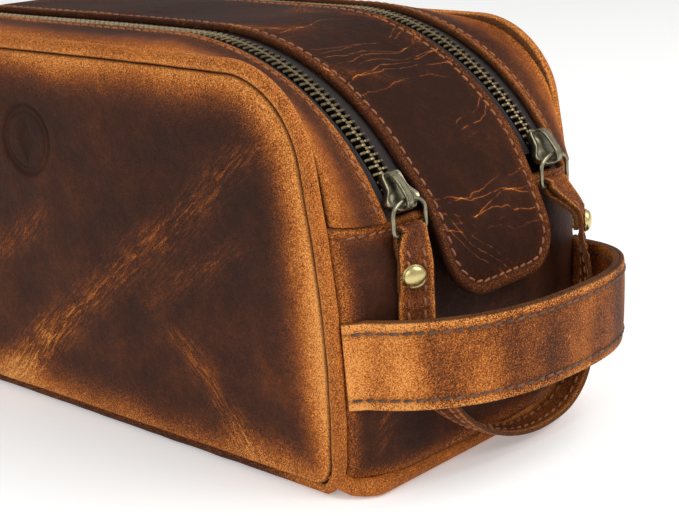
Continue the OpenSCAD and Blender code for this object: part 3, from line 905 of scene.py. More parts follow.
def make_panel(name, side, node, creases_up, creases_down, stamp):
    """Front (side -1) or back (side 1) panel: softly filled, with its creases and stamp."""
    x, z = panel_grid(rim_inset, 1.35, stamp)
    edge = inside_distance(x, z, -rim_inset)
    plan = stack(x * -side, z)
    up = creased(plan, creases_up, 1.5)
    down = creased(plan, creases_down, 1.5)
    swell = 1 - np.exp(-edge / 9.0)
    spots = stack(x, 0, z)
    dents = ripple(spots, 60, 21) * 0.55 + ripple(spots, 26, 22) * 0.16
    along_up = (plan[..., 0] - plan[..., 1]) * 0.7071
    along_down = (plan[..., 0] + plan[..., 1]) * 0.7071
    folds = (up * (0.35 + 0.16 * np.sin(along_up * 2.1 + ripple(spots, 20, 23) * 3))
             + down * (0.3 + 0.14 * np.sin(along_down * 2.3 + ripple(spots, 20, 24) * 3)))
    depth = half_depth - 0.9 + 2.2 * swell + dents * swell + folds
    if stamp:
        depth = depth - pressed_stamp(plan[..., 0], z)
    low = np.clip((foot_height - z) / foot_fade, 0, 1)
    grid = soft(stack(x, side * depth, z - foot_sink * low))
    tone = ripple(spots, 85, 25) * 0.05 - 0.02 - 0.14 * low
    # Painted light: paler near the rim at the panel's right end, the side the key light falls on
    tone = tone + 0.16 * np.clip((plan[..., 0] - 92) / 30, 0, 1) * np.exp(-edge / 9)
    # Painted shade: darker in the stamp's pressed hollows
    if stamp:
        tone = tone - 0.10 * np.clip(pressed_stamp(plan[..., 0], z) / 0.7, 0, 1)
    piece = slab(name, grid, leather_thick - 0.4, panel_leather, edge, roll=1.3,
                 marks={"rising": up, "falling": down, "tone": tone,
                        "flat": stack(plan[..., 0], z, 0)})
    fit(piece, "bag", "dark_leather", node)


# ---------------------------------------------------------------- pipings

def round_section(radius, count):
    """Round section of a piping or a wire."""
    a = np.linspace(0, 2 * math.pi, count, endpoint=False)
    return stack(radius * np.cos(a), radius * np.sin(a))


def make_panel_piping(name, side, node):
    """The welt round the front or back panel."""
    line = panel_outline(0.6)
    line = line[np.linalg.norm(line - np.roll(line, 1, axis=0), axis=1) > 0.3]
    path = soft(stack(line[:, 0], side * (half_depth - 2.6), line[:, 1]))
    path[:, 1] += 0.15 * ripple(path, 14, 31)
    under = np.clip((13 - path[:, 2]) / 8.6, 0, 1)
    path[:, 2] = np.maximum(path[:, 2] - foot_sink * under, 1.75)
    path[:, 1] -= side * 0.5 * under
    ups = np.tile([0, float(side), 0], (len(path), 1))
    # Painted shade: the welt darker along the panel's foot, where it lies in shadow by the floor,
    # except near the corners
    tone = 0.12 - 0.46 * under * np.clip((half_length - 12 - np.abs(path[:, 0])) / 16, 0, 1)
    radius = welt_radius - 0.5 * under
    section = round_section(1, 18) * radius[:, None, None]
    height = (side * section[..., 0] + section[..., 1]) * 1.1 + 0.9
    piece = tube(name, path, ups, section, welt_leather, closed=True,
                 marks={"edge": np.clip(height, 0, 9), "tone": tone})
    fit(piece, "bag", "warm_leather", node)


def make_end_piping(name, side, node):
    """The welt along the foot of an end panel, turned into the corner pipings."""
    reach = gusset_edge + 0.5
    y = np.linspace(-reach, reach, 90)
    curl = np.maximum(0, (np.abs(y) - reach + 9) / 9)
    x = half_length + end_bulge - 1.2 - 9.6 * curl ** 2
    z = 2.85 + 0.6 * curl ** 2 + 4 * np.clip((np.abs(y) - reach + 2.5) / 2.5, 0, 1) ** 2
    ups = np.tile([0.0, 0.0, 1.0], (len(y), 1))
    section = round_section(end_welt_radius, 18)
    height = section[:, 0] * 0.5 + 3.5
    piece = tube(name, stack(side * x, y, z), ups, section, welt_leather,
                 marks={"edge": np.tile(height, len(y)), "tone": np.full(len(y), 0.16)})
    fit(piece, "bag", "warm_leather", node)


# ---------------------------------------------------------------- crown strips and end panels

def across_places():
    """Places across a crown strip, closer together at its piping and at its stitched edge."""
    width = gusset_edge - strip_edge
    y = gusset_edge - width * (1 - np.cos(np.linspace(0, math.pi / 2, 9)))
    sewn = places(strip_edge, strip_edge + 6, 1.0, [strip_stitch])
    return np.unique(np.round(np.concatenate([y[y > strip_edge + 6.3], sewn]), 3))


def sew_row(name, line, facing):
    """A row of pale stitches along a line of a leather piece, sunk in its groove."""
    thread = stitches(name + "_stitches", line - facing * 0.2, facing, pale_thread)
    fit(thread, "bag", "warm_leather")


def make_top_strip(name, side, node):
    """Crown strip between a piping and a zip, with its stitched fold."""
    y = across_places()
    share = places(-crown_run, crown_run, 2.0) / crown_run
    plan = stack(share[:, None] * crown_run, y, 0)
    width = plan[..., 1]
    edge = np.minimum(width - strip_edge, 1.6 * (gusset_edge + 0.3 - width))
    groove = 0.32 * ridge(width, strip_stitch, 0.55)
    fold = 0.35 * ridge(width, strip_edge + 1.3, 1.4)
    grid = soft(gusset_top(share, y))
    grid = (grid + outward(grid) * fold[..., None]) * np.array([1, side, 1])
    tone = 0.02 + 0.09 * ripple(plan, 60, 41)
    tone = tone - 0.20 * ridge(width, 46.5, 3.2) + 0.22 * ridge(width, 53, 2.6)
    piece = slab(name, grid, leather_thick + 0.3, gusset_leather, edge, groove, 1.1,
                 marks={"tone": tone, "flat": plan})
    fit(piece, "bag", "warm_leather", node)
    column = int(np.argmin(np.abs(y - strip_stitch)))
    sew_row(name, grid[2:-2, column], outward(grid)[2:-2, column])


# Creases of an end panel: place across, height and strength, then their width
RISING_END = [
    ([(-30, 60, 0.5), (-44, 34, 0.8), (-48, 14, 0.5)], 6),
    ([(20, 66, 0.6), (4, 50, 0.3)], 7),
]


def make_end_panel(name, side, node):
    """End panel with its folded, stitched top edge."""
    z = places(2.5, end_top, 1.7, [end_stitch])
    turned = (gusset_edge - gusset_flat) * np.sin(np.radians(np.linspace(0, 90, 12)))
    y = np.concatenate([-gusset_flat - turned[::-1],
                        np.linspace(-gusset_flat, gusset_flat, 50)[1:-1],
                        gusset_flat + turned])
    grid = end_wall(z, y)
    plan = stack(y, z[:, None], 0)
    wide, high = plan[..., 0], plan[..., 1]
    edge = np.minimum(end_top - high, 1.4 * (gusset_edge + 0.3 - np.abs(wide)))
    edge = np.minimum(edge, 1.2 * (high - 5))
    groove = 0.32 * ridge(high, end_stitch, 0.55)
    bulge = 0.9 * ridge(high, seam_height - 1.6, 1.6) * rise(wide) ** 2
    sag = 0.5 * ripple(grid, 46, 51) * np.clip((seam_height - high) / 10, 0, 1) * rise(wide)
    grid = soft(grid)
    grid[..., 0] += bulge + sag
    grid = grid * np.array([side, 1, 1])
    up = creased(plan[..., :2], RISING_END, 1)
    piece = slab(name, grid, leather_thick, gusset_leather, np.maximum(edge, 0), groove, 1.1,
                 marks={"tone": 0.04 * ripple(plan, 40, 52) - 0.05, "rising": up, "flat": plan})
    fit(piece, "bag", "dark_leather", node)
    row = int(np.argmin(np.abs(z - end_stitch)))
    sew_row(name, grid[row, 4:-4], outward(grid)[row, 4:-4])


def make_base(name, node):
    """Base panel, tucked up a little at its rim."""
    x = places(-half_length - 0.8, half_length + 0.8, 8)
    y = places(-gusset_edge + 0.4, gusset_edge - 0.4, 7)
    edge = np.minimum(x[-1] - np.abs(x[:, None]), y[-1] - np.abs(y))
    z = 0.12 + 1.5 * np.exp(-edge / 4.0)
    piece = slab(name, stack(x[:, None], y, z), leather_thick, panel_leather, edge, roll=0.8,
                 marks={"tone": 0 * z - 0.1})
    fit(piece, "bag", "dark_leather", node)


# ---------------------------------------------------------------- flap

def flap_half(run_left, near_root):
    """Half width of the flap at a run from its tip, narrowed at the root so the rings pass."""
    corner = np.clip(tip_corner - run_left, 0, tip_corner)
    tip = tip_half_width - tip_corner + half_chord(tip_corner, corner)
    share = np.clip((run_left - 26) / 20, 0, 1)
    wide = tip + (flap_half_width - tip_half_width) * ease(share)
    return wide - root_narrowing * ease(np.clip(1 - near_root / 13, 0, 1))


# Creases of the flap: run from the middle of the top, place across and strength, then width
RISING_FLAP = [
    ([(58, -28, 0.9), (70, -16, 0.8), (74, 0, 0.35)], 6),
    ([(98, -27, 0.9), (104, -12, 0.6), (112, 2, 0.2)], 5),
    ([(76, 26, 0.8), (64, 16, 0.6), (50, 10, 0.3)], 6),
    ([(-10, -26, 0.8), (6, -14, 0.8), (20, -4, 0.3)], 7),
    ([(-60, -20, 0.7), (-42, -6, 0.5), (-30, 6, 0.2)], 7),
]
FALLING_FLAP = [
    ([(36, 28, 0.8), (52, 12, 0.6), (66, 0, 0.25)], 6),
    ([(88, 28, 0.7), (100, 14, 0.5), (110, 6, 0.2)], 5),
    ([(-40, 26, 0.7), (-20, 8, 0.6), (-8, 0, 0.2)], 7),
    ([(-110, 22, 0.7), (-94, 4, 0.5), (-84, -6, 0.2)], 7),
]


def flap_grid(inset):
    """Grid over the flap, in runs along and places across, with its distances from the rim."""
    rim_width = 7
    whole = tip_run + root_run
    from_tip = np.concatenate([places(0, 36, 1.0, [flap_stitch]), np.arange(36, whole, 1.6)[1:],
                               [whole]])
    run = tip_run - inset - from_tip * (whole - 2 * inset) / whole
    half = (flap_half(from_tip, whole - from_tip) - inset)[:, None]
    rim = places(0, rim_width, 1.0, [flap_stitch])[:-1]
    squeeze = np.minimum(1, half / 13)
    y = np.concatenate([rim * squeeze - half,
                        np.linspace(-1, 1, 34) * (half - rim_width * squeeze),
                        half - rim[::-1] * squeeze], axis=1)
    near = np.broadcast_to(from_tip[:, None], y.shape)
    full = tip_half_width - inset
    wide = np.where(near < tip_corner, full, half)
    in_corner = (near < tip_corner) & (np.abs(y) > full - tip_corner)
    straight = np.minimum(near, wide - np.abs(y))
    curved = tip_corner - np.hypot(tip_corner - near, np.abs(y) - (full - tip_corner))
    edge = np.maximum(np.where(in_corner, curved, straight), 0)
    return run, y, edge


def flap_points(run, y):
    """Points of the crown at a run and places across."""
    x, z = crown_at(run)
    return stack(x[:, None], y, z[:, None])


def bend_tip(piece):
    """Bakes the piece's transform into its mesh."""
    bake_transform(piece)


def make_flap():
    """The leather flap, one piece from its seam at the left end to its tip."""
    run, y, edge = flap_grid(0)
    grid = flap_points(run, y)
    plan = stack(run[:, None], y, 0)
    up = creased(plan[..., :2], RISING_FLAP, 1.2)
    down = creased(plan[..., :2], FALLING_FLAP, 1.2)
    groove = 0.34 * ridge(edge, flap_stitch, 0.6)
    fold = 0.35 * ridge(edge, 1.6, 1.6)
    dents = ripple(grid, 34, 61) * 0.35 * np.clip(edge / 10, 0, 1)
    lines = 0.14 * (up * np.sin((plan[..., 0] - plan[..., 1]) * 2.0)
                    + down * np.sin((plan[..., 0] + plan[..., 1]) * 2.0))
    grid = soft(grid)
    facing = outward(grid)
    grid = grid + facing * (fold + dents + lines + 0.25 * (up + down))[..., None]
    piece = slab("flap_leather", grid, leather_thick, flap_leather, edge, groove, 1.1,
                 marks={"rising": up, "falling": down, "flat": plan,
                        "tone": 0.07 * ripple(plan, 70, 62) - 0.03})
    bend_tip(piece)
    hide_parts("flap_panel", "flap_tip")
    sew_flap(run, y, grid, facing)


def sew_flap(run, y, grid, facing):
    """The flap's row of stitches: along both sides and round the tip."""
    near = tip_run - run
    half = flap_half(near, root_run + run)
    rows = [i for i in range(len(run)) if near[i] > tip_corner and root_run + run[i] > 3]
    inner = tip_corner - flap_stitch
    corner = []
    for a in np.linspace(0, math.pi / 2, 14):
        row = int(np.argmin(np.abs(near - tip_corner + inner * math.sin(a))))
        corner.append((row, tip_half_width - tip_corner + inner * math.cos(a)))
    right = corner[::-1] + [(i, half[i] - flap_stitch) for i in rows]
    seam = [(i, -place) for i, place in right[::-1]] + right

    def on_seam(values):
        return np.array([[np.interp(place, y[i], values[i, :, k]) for k in range(3)]
                         for i, place in seam])

    line, way = on_seam(grid), on_seam(facing)
    keep = np.concatenate([[True], np.linalg.norm(np.diff(line, axis=0), axis=1) > 0.2])
    thread = stitches("flap_stitches", line[keep] - way[keep] * 0.2, way[keep], pale_thread)
    bend_tip(thread)


def make_flap_lining():
    """Cloth under the flap and its tip."""
    run, y, edge = flap_grid(1.2)
    grid = soft(flap_points(run, y))
    grid = grid - outward(grid) * (leather_thick + 0.05)
    piece = slab("flap_lining_cloth", grid, lining_thick, cloth, edge, roll=0.3)
    bend_tip(piece)
    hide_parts("flap_lining", "flap_tip_lining")


# ---------------------------------------------------------------- zips

def tooth_points():
    """One zip tooth in its own frame: along the run, across towards the other row, and out.
    Each station has its reach across, half its length along the run and half its height."""
    stations = [(0.0, 0.34, 0.55), (0.4, 0.46, 0.85), (2.0, 0.46, 0.90), (2.4, 0.34, 0.75),
                (2.8, 0.40, 0.85), (3.1, 0.56, 1.05), (3.7, 0.56, 1.05), (4.0, 0.42, 0.8)]
    cut = 1 - 0.34
    around = [(1, cut), (cut, 1), (-cut, 1), (-1, cut),
              (-1, -cut), (-cut, -1), (cut, -1), (1, -cut)]
    points = [(a * half_run, reach, b * half_high)
              for reach, half_run, half_high in stations for a, b in around]
    return np.array(points), loft_faces(len(stations), len(around))


def teeth_row(name, inner_sign, side, low, high, shift, body, node):
    """A row of teeth on one zip half: inner_sign 1 for the bag's half, -1 for the flap's."""
    tooth, tooth_faces = tooth_points()
    if side * inner_sign < 0:
        tooth_faces = [face[::-1] for face in tooth_faces]
    # Painted highlight, partly rub wear: the top of each tooth paler, most at its head
    wear = np.clip(tooth[:, 2], 0, 1) * np.where(tooth[:, 1] > 2.6, 1.0, 0.35)
    across = np.array([0, -side * inner_sign, 0])
    y = side * (zip_offset + inner_sign * tooth_root)
    points, faces = [], []
    for run in np.arange(low + shift, high, tooth_pitch):
        x, z = crown_at(run, -tooth_sink)
        ahead_x, ahead_z = crown_at(run + 0.5, -tooth_sink)
        ahead = unit(np.array([ahead_x - x, 0, ahead_z - z]))
        out = np.array([-ahead[2], 0, ahead[0]]) * 0.92
        first = len(points) * len(tooth)
        faces += [[first + i for i in face] for face in tooth_faces]
        points.append(np.array([x, y, z]) + tooth[:, :1] * ahead + tooth[:, 1:2] * across
                      + tooth[:, 2:] * out)
    piece = make_piece(name, soft(np.concatenate(points)), faces, tooth_brass,
                       {"edge": np.tile(wear, len(points))}, smooth=False)
    fit(piece, body, "zip_teeth", node)


def tape_strip(name, side, width, low, high, body, node, cord_at):
    """One half of a zip tape, thicker where its teeth grip it."""
    y = places(*width, 0.9)
    run = places(low, high, 2.2)
    grid = soft(flap_points(run, side * y))
    bead = 0.75 * ridge(y, cord_at, 0.8)
    grid = grid - outward(grid) * (2.25 - bead)[:, None]
    piece = slab(name, grid, 0.8, twill, roll=0.3, marks={"flat": stack(run[:, None], y, 0)})
    fit(piece, body, "zip_tape", node)


def make_zip(label, side):
    """One zip: a tape and a row of teeth on the bag, and the same on the flap."""
    tape_strip(label + "_bag_tape", side, bag_tape, -crown_run + 1, crown_run - 1, "bag",
               label + "_zip_tape", bag_tape[0] + 0.8)
    tape_strip(label + "_flap_side_tape", side, flap_tape, -root_run + 12, split_run + 1, "flap",
               label + "_flap_tape", flap_tape[1] - 0.8)
    teeth_row(label + "_bag_teeth", 1, side, -crown_run + 3, crown_run - 3, 0, "bag",
              label + "_zip_teeth")
    teeth_row(label + "_flap_side_teeth", -1, side, -crown_run + 3, split_run,
              tooth_pitch * 4.5, "flap", label + "_flap_teeth")


# ---------------------------------------------------------------- sliders and rings

# A slider's own frame: X down the zip, Y across the bag and Z out of it
SLIDER_AXES = np.array([(math.sin(slider_angle), 0, -math.cos(slider_angle)),
                        (0, 1, 0),
                        (math.cos(slider_angle), 0, math.sin(slider_angle))])


def from_slider(points, side):
    """Points of a slider's own frame, in the bag's frame."""
    return np.asarray(points, float) @ SLIDER_AXES + (slider_x, side * zip_offset, slider_height)


# The slider plate's half outline, down the zip and across
SLIDER_PLAN = [(-5.8, 3.1), (-5.4, 3.7), (-4.2, 4.0), (-2.4, 4.1), (-0.9, 4.4), (0.5, 5.4),
               (1.7, 6.5), (2.6, 6.9), (3.5, 6.7), (4.3, 5.6), (5.0, 4.4), (5.8, 3.4)]


def make_slider_body(label, side):
    """Slider plate with soft edges and a raised keel, and its side flanges."""
    half = smooth_path([(x, y, 0) for x, y in SLIDER_PLAN], 0.55)[:, :2]
    outline = np.concatenate([half, half[::-1] * np.array([1, -1])])
    reach = np.linalg.norm(outline, axis=1, keepdims=True)
    # How far each layer stops inside the outline, and its height
    layers = [(0.4, -0.6), (0.0, -0.35), (0.0, 1.25), (0.08, 1.50), (0.25, 1.62), (0.5, 1.50),
              (0.8, 1.32), (2.2, 1.45), (3.6, 1.7)]
    points, wear = [], []
    for inset, height in layers:
        ring = outline * np.maximum(0.08, (reach - inset) / reach)
        points += [(x, y, height) for x, y in ring]
        wear += [0.9 if inset < 1 else 0.3] * len(ring)
    piece = make_piece(label + "_slider_plate", from_slider(points, side),
                       loft_faces(len(layers), len(outline)), slider_brass, {"edge": wear})
    fit(piece, label + "_slider", "slider_metal", label + "_slider_body")


def make_slider_bridge(label, side):
    """The arched bridge that carries the ring."""
    path = smooth_path([(-5.5, 0, 1.2), (-5.0, 0, 2.4), (-3.6, 0, 3.3), (-1.2, 0, 3.9),
                        (1.6, 0, 4.2), (3.8, 0, 4.2), (5.0, 0, 3.7), (5.5, 0, 2.8),
                        (5.3, 0, 1.7)], 0.5)
    path[:, 1] = side * 0.9
    ahead = unit(np.gradient(path, axis=0))
    ups = stack(-ahead[:, 2], 0, ahead[:, 0])
    wide = 1.6 - 0.15 * np.linspace(0, 1, len(path))
    base = np.array(rounded_bar(1, 0.45, 0.28))
    section = np.stack([base * np.array([w, 1]) for w in wide])
    # Painted highlight, partly rub wear: the bridge paler along its top face
    wear = np.clip(section[..., 1] / 0.72, 0, 1)
    piece = tube(label + "_slider_arch", from_slider(path, side), ups @ SLIDER_AXES, section,
                 slider_brass, marks={"edge": wear})
    fit(piece, label + "_slider", "slider_metal", label + "_slider_bridge")


def make_ring(label, side):
    """The D-shaped wire ring: its round end in the bridge, its bar in the strap."""
    arc_drop = 3.9
    corner = 1.3
    arc = [(arc_drop - arc_drop * math.cos(a), ring_half * math.sin(a))
           for a in np.linspace(0, math.pi / 2, 9)]
    foot = [(ring_drop - corner + corner * math.sin(a), ring_half - corner + corner * math.cos(a))
            for a in np.linspace(0, math.pi / 2, 5)]
    half = arc + [(6.0, ring_half)] + foot + [(ring_drop, 2.5), (ring_drop, 0)]
    flat = np.array(half + [(d, -w) for d, w in half[1:-1]][::-1])
    down = np.array([math.cos(ring_angle), 0, math.sin(ring_angle)])
    path = (np.array([ring_x, side * zip_offset, ring_z]) + flat[:, :1] * down
            + flat[:, 1:] * np.array([0.0, 1.0, 0.0]))
    path = smooth_path(np.concatenate([path, path[:1]]), 0.7)[:-1]
    ups = np.tile([-down[2], 0.0, down[0]], (len(path), 1))
    piece = tube(label + "_wire_ring", path, ups, round_section(ring_wire, 12),
                 slider_brass, closed=True, marks={"edge": np.full(len(path), 0.6)})
    fit(piece, label + "_ring", "slider_metal", label + "_ring")


# ---------------------------------------------------------------- handle

def bow(y):
    """How far the handle stands out, across the bag."""
    fall = (np.abs(y) / bow_half_span) ** bow_fullness
    return bow_foot + bow_depth * np.sqrt(np.maximum(0, 1 - fall))


def handle_path():
    """The handle's bow: its middle line, its outward directions and the run along it."""
    reach = gusset_edge - 0.4
    y = reach * np.sin(np.linspace(-1, 1, 1501) * math.pi / 2)
    middle_z = handle_low + handle_width / 2
    wall = end_wall(np.array([middle_z]), y)[0, :, 0]
    tuck = np.clip((gusset_edge - np.abs(y)) / 7, 0, 1)
    x = np.maximum(bow(y), wall - 0.9 + (handle_ply + 1.8) * tuck)
    run = run_along(stack(x, y))
    even = np.linspace(0, run[-1], 150)
    x, y = np.interp(even, run, x), np.interp(even, run, y)
    x = np.convolve(np.pad(x, 3, mode="edge"), np.ones(7) / 7, mode="valid")
    lift = handle_rise * np.maximum(0, x - half_length) / (bow_depth - 5.3)
    path = stack(x, y, middle_z + lift)
    path[:, 2] += 0.25 * ripple(path, 45, 71)
    ahead = unit(np.gradient(path, axis=0))
    return path, stack(ahead[:, 1], -ahead[:, 0], 0), even


def handle_section(sign):
    """Section of the outer (sign 1) or inner (sign -1) ply, pressed in along its stitches."""
    half = handle_width / 2
    stitch = half - handle_stitch
    spots = [half - 0.35, half - 1.2, half - 2.5, stitch, half - 3.7, half - 5.5, 3.6]
    face = []
    for s in spots + [-s for s in spots[::-1]]:
        press = 0.30 * ridge(abs(s), stitch, 0.6)
        swell = 0.28 * (1 - (s / half) ** 2) - 0.22 * math.exp(-(half - abs(s)) / 0.8)
        face.append((s, handle_ply + swell - press))
    rim = [(half, 0.2), (half, handle_ply - 0.65), (half - 0.18, handle_ply - 0.25)]
    far = [(-w, h) for w, h in rim[::-1]] + [(-half + 0.15, 0.05), (half - 0.15, 0.05)]
    return (np.array(rim + face + far) * np.array([1, sign]))[::sign]


def make_handle():
    """The end handle: two plies of one bow, stitched along both edges."""
    path, out, run = handle_path()
    half = handle_width / 2
    stitch = half - handle_stitch
    for face, sign in (("outer", 1), ("inner", -1)):
        section = handle_section(sign)
        wide = np.abs(section[:, 0])
        plan = stack(run[:, None], section[:, 0], 0)
        tone = 0.36 * ridge(run, 0, 26) - 0.05 * np.clip(run / 90, 0, 1)
        tone = tone[:, None] + 0.10 * ripple(plan * np.array([1, 0.22, 1]), 13, 72)
        tone = tone + 0.08 * ripple(plan * np.array([1, 0.4, 1]), 34, 73)
        groove = ridge(wide, stitch, 0.7) * (sign > 0)
        piece = tube("handle_" + face + "_ply", path, out, section, handle_leather,
                     marks={"edge": np.tile((half - wide) * 1.2, len(path)),
                            "groove": np.tile(groove, len(path)), "tone": tone, "flat": plan})
        fit(piece, "bag", "warm_leather", "handle_" + face)
    for label, place in (("upper", stitch), ("lower", -stitch)):
        for face, sign in (("outer", 1), ("inner", -1)):
            line = path + out * sign * (handle_ply - 0.05) + np.array([0, 0, place])
            thread = stitches("handle_" + face + "_" + label + "_stitches", line[2:-2],
                              out[2:-2] * sign, dark_thread)
            fit(thread, "bag", "warm_leather")


# ---------------------------------------------------------------- pull strap

# Points of the strap's middle line from the front ring to the back ring, and the turn of its
# width from across the bag (0) to along it (90)
STRAP_ROUTE = [
    (bar_x - 0.2, -35.6, 71.2, 0), (135.8, -36.1, 70, 12), (137.2, -37, 68.6, 24),
    (138.6, -37.8, 67.4, 32), (138.6, -37.8, 57.8, 32), (139.3, -38.6, 54, 41),
    (140, -39, 47, 50), (140.8, -38.2, 39.6, 60), (141.4, -36, 32, 70),
    (141.8, -31.4, 24.8, 78), (142, -24.4, 18, 86), (142.2, -15.4, 12, 90),
    (142.4, -5.4, 7.6, 90), (142.8, 5.4, 5.2, 90), (143, 15.6, 5, 90), (143.2, 25, 6.8, 90),
    (143.4, 32.2, 11.2, 84), (143.8, 36.4, 17.6, 76), (144.2, 38.2, 26, 68),
    (144.4, 38.8, 35, 60), (144.2, 39, 44, 52), (143.8, 38.6, 52, 42), (143.3, 37.8, 57.8, 32),
    (142.9, 37.8, 65.4, 28), (140.9, 37, 68.6, 16), (138.3, 36.1, 70.6, 8),
    (bar_x - 0.2, 35.6, 71.8, 0)]


def strap_frames():
    """The strap's centre line with, at each point, its width and outward directions."""
    rows = smooth_path(STRAP_ROUTE, 1.2)
    path, turn = rows[:, :3], np.radians(rows[:, 3])
    middle = int(np.argmax(turn))
    sign = np.where(np.arange(len(rows)) < middle, 1.0, -1.0)
    wide = stack(np.sin(turn), np.cos(turn) * sign, 0)
    ahead = unit(np.gradient(path, axis=0))
    wide = unit(wide - ahead * np.sum(wide * ahead, axis=1, keepdims=True))
    return path, wide, np.cross(ahead, wide)


def make_strap():
    """The pull strap: one ply that folds round both ring bars, down to behind the rivets."""
    path, wide, out = strap_frames()
    if out[0, 0] < 0:
        out = -out
    ply = 1.5
    radius = ring_wire + 0.35 + ply / 2
    main = [i for i in range(2, len(path) - 2, 2) if path[i, 2] < 68.5]
    tail = [i for i in range(len(path) // 2) if 57.5 < path[i, 2] < 70.5][::2]
    behind = path - out * 1.15

    def ply_rows(line, at):
        return np.concatenate([line[at], wide[at]], axis=1)

    def turn_round_bar(side):
        a = np.radians(np.linspace(0, 180, 13))
        return stack(bar_x + radius * np.cos(a), side * zip_offset, bar_z + radius * np.sin(a),
                     0, -side, 0)

    rows = smooth_path(np.concatenate([
        ply_rows(behind, tail[::-1]), turn_round_bar(-1)[::-1], ply_rows(path + out * 0.45, main),
        turn_round_bar(1), ply_rows(behind, [-1 - i for i in tail])]), 1.0)
    full = rows[:, :3]
    facing = unit(np.cross(unit(np.gradient(full, axis=0)), rows[:, 3:]))
    half = strap_width / 2 - 0.3 * np.clip((full[:, 2] - 56) / 12, 0, 1)
    strap = band("pull_strap_leather", full, facing, half, ply, strap_leather)
    fit(strap, "strap", "warm_leather", "pull_strap")
    for label, place in (("a", 2.3), ("b", -2.3)):
        for face, lift, top in (("outer", 1.15, 69), ("inner", -0.25, 58.5)):
            low = path[:, 2] < top
            way = out[low] * np.sign(lift)
            line = path[low] + wide[low] * place + out[low] * lift
            thread = stitches("strap_" + face + "_stitches_" + label, line, way, pale_thread)
            fit(thread, "strap", "warm_leather")


def band(name, path, facing, half, thick, material):
    """A flat band of changing half width, with rounded edges and lighter cut sides."""
    corner = thick * 0.34
    base_half = 10
    base = np.array(rounded_bar(base_half, thick / 2, corner, 3, 7))
    over = np.abs(base[:, 0]) - (base_half - corner)
    share = np.clip(np.abs(base[:, 0]) / (base_half - corner), 0, 1)
    wide = np.sign(base[:, 0]) * (share * (half[:, None] - corner) + np.clip(over, 0, None))
    edge = np.clip(half[:, None] - np.abs(wide), 0, None) * 1.3
    plan = stack(run_along(path)[:, None], wide, 0)
    return tube(name, path, facing, stack(wide, base[:, 1]), material,
                marks={"edge": edge, "tone": 0.04 + 0.06 * ripple(plan, 30, 81), "flat": plan})


def lathe(name, profile, origin, axis, material, steps=40):
    """A turned piece: its profile is distances along the axis and radii."""
    a = unit(np.cross(axis, [0, 0, 1]))
    ring = round_section(1, steps) @ np.stack([a, np.cross(axis, a)])
    points = np.concatenate([origin + axis * along + ring * radius for along, radius in profile])
    return make_piece(name, points, loft_faces(len(profile), steps), material,
                      {"edge": np.full(len(points), 0.7)})


def make_rivets():
    """Domed caps outside, posts with flat heads inside."""
    # Distances along the axis and radii
    dome = [(0.0, 3.4), (0.3, 3.6), (0.6, 3.55), (0.8, 3.3)]
    dome += [(0.8 + 1.5 * math.sin(a), 3.25 * math.cos(a))
             for a in np.radians(np.linspace(8, 86, 10))]
    post = [(-0.85, 2.2), (-0.7, 2.6), (-0.1, 2.6), (0.0, 1.1), (2.4, 1.1)]
    for label, side in FACES:
        facing = np.array([math.cos(rivet_turn), side * math.sin(rivet_turn), 0])
        place = np.array(rivet_place) * np.array([1, side, 1])
        place += np.array([back_leg_out, 0, 0]) if side > 0 else np.array([0, -1.4, 0])
        cap = lathe(label + "_rivet_dome", dome, place + facing * 1.1, facing, rivet_brass)
        fit(cap, "strap", "rivet_metal", label + "_rivet_cap")
        foot = lathe(label + "_rivet_shank", post, place - facing * 1.8, facing, rivet_brass, 28)
        fit(foot, "strap", "rivet_metal", label + "_rivet_post")


# ---------------------------------------------------------------- lining

def line_with_cloth(label, grid, edge=None):
    """A sheet of lining cloth behind a panel."""
    piece = slab(label + "_lining_cloth", grid, lining_thick, cloth, edge, roll=0.3)
    fit(piece, "bag", "lining_cloth", label + "_lining")


def make_linings():
    """Cloth inside each panel of the bag."""
    for label, side in FACES:
        x, z = panel_grid(4.8, 4.0)
        edge = inside_distance(x, z, -4.8)
        dents = 0.25 * ripple(stack(x, 0, z), 40, 91)
        depth = half_depth - 3.6 - 0.5 * np.exp(-edge / 6) + dents
        line_with_cloth(label, soft(stack(x, side * depth, z)), edge)
        grid = soft(gusset_top(np.linspace(-0.97, 0.97, 120), np.linspace(40.4, 53.6, 8)))
        line_with_cloth(label + "_strip", (grid - outward(grid) * 3.4) * np.array([1, side, 1]))
    for label, side in ENDS:
        z = np.linspace(8, seam_height - 2, 36)
        y = np.linspace(-gusset_edge + 1.4, gusset_edge - 1.4, 44)
        grid = soft(end_wall(z, y)) - np.array([2.9, 0, 0])
        line_with_cloth(label + "_end", grid * np.array([side, 1, 1]))
    x = np.linspace(-half_length + 8, half_length - 8, 50)[:, None]
    y = np.linspace(-gusset_edge + 2, gusset_edge - 2, 24)
    z = 3.1 + 0.5 * (1 + ripple(stack(x, y, 0), 40, 92))
    line_with_cloth("base", stack(x, y, z))


# ---------------------------------------------------------------- build

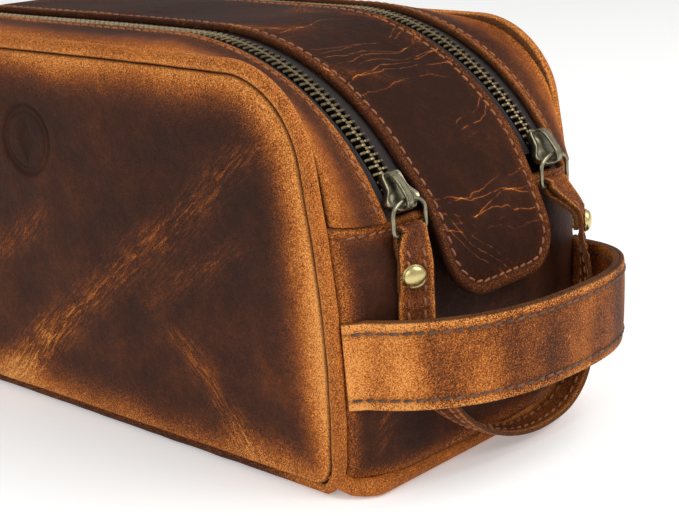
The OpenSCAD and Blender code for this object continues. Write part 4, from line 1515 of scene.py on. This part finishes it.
make_panel("front_panel_leather", -1, "front_panel", RISING_FRONT, FALLING_FRONT, True)
make_panel("back_panel_leather", 1, "back_panel", RISING_FRONT[1:], FALLING_FRONT[:2], False)
for label, side in FACES:
    make_panel_piping(label + "_welt", side, label + "_piping")
    make_top_strip(label + "_strip_leather", side, label + "_top_strip")
    make_zip(label, side)
    make_slider_body(label, side)
    make_slider_bridge(label, side)
    make_ring(label, side)
for label, side in ENDS:
    make_end_panel(label + "_end_leather", side, label + "_end_panel")
    make_end_piping(label + "_end_welt", side, label + "_end_piping")
make_base("base_leather", "base_panel")
make_flap()
make_flap_lining()
make_handle()
make_strap()
make_rivets()
make_linings()


# ---------------------------------------------------------------- floor and light

def make_floor():
    """A pale floor that runs out of the picture."""
    mesh = bpy.data.meshes.new("floor")
    size = 8
    mesh.from_pydata([(-size, -size, 0), (size, -size, 0), (size, size, 0), (-size, size, 0)], [],
                     [(0, 1, 2, 3)])
    mesh.materials.append(make_floor_paint())
    floor = bpy.data.objects.new("floor", mesh)
    bpy.context.scene.collection.objects.link(floor)


def area_light(name, place, target, size, power, colour):
    """A soft lamp at a place, turned to its target, in metres and watts."""
    data = bpy.data.lights.new(name, "AREA")
    data.shape = "RECTANGLE"
    data.size, data.size_y = size
    data.energy = power
    data.color = colour
    lamp = bpy.data.objects.new(name, data)
    lamp.location = place
    lamp.rotation_euler = (Vector(target) - Vector(place)).to_track_quat("-Z", "Y").to_euler()
    bpy.context.scene.collection.objects.link(lamp)


def make_light():
    """Plain white surroundings, a warm key light from the right end and a fill from the front."""
    world = bpy.data.worlds.new("studio")
    world.use_nodes = True
    background = world.node_tree.nodes["Background"]
    background.inputs["Color"].default_value = (1, 1, 1, 1)
    background.inputs["Strength"].default_value = 0.55
    bpy.context.scene.world = world
    area_light("key", (0.9, 0.25, 1.1), (0.05, 0, 0.05), (0.9, 0.9), 11, (1.0, 0.98, 0.95))
    area_light("front", (0.1, -1.3, 0.7), (0, 0, 0.05), (1.2, 0.7), 4.5, (1.0, 0.99, 0.97))
    bpy.context.scene.view_settings.view_transform = "Standard"


make_floor()
make_light()
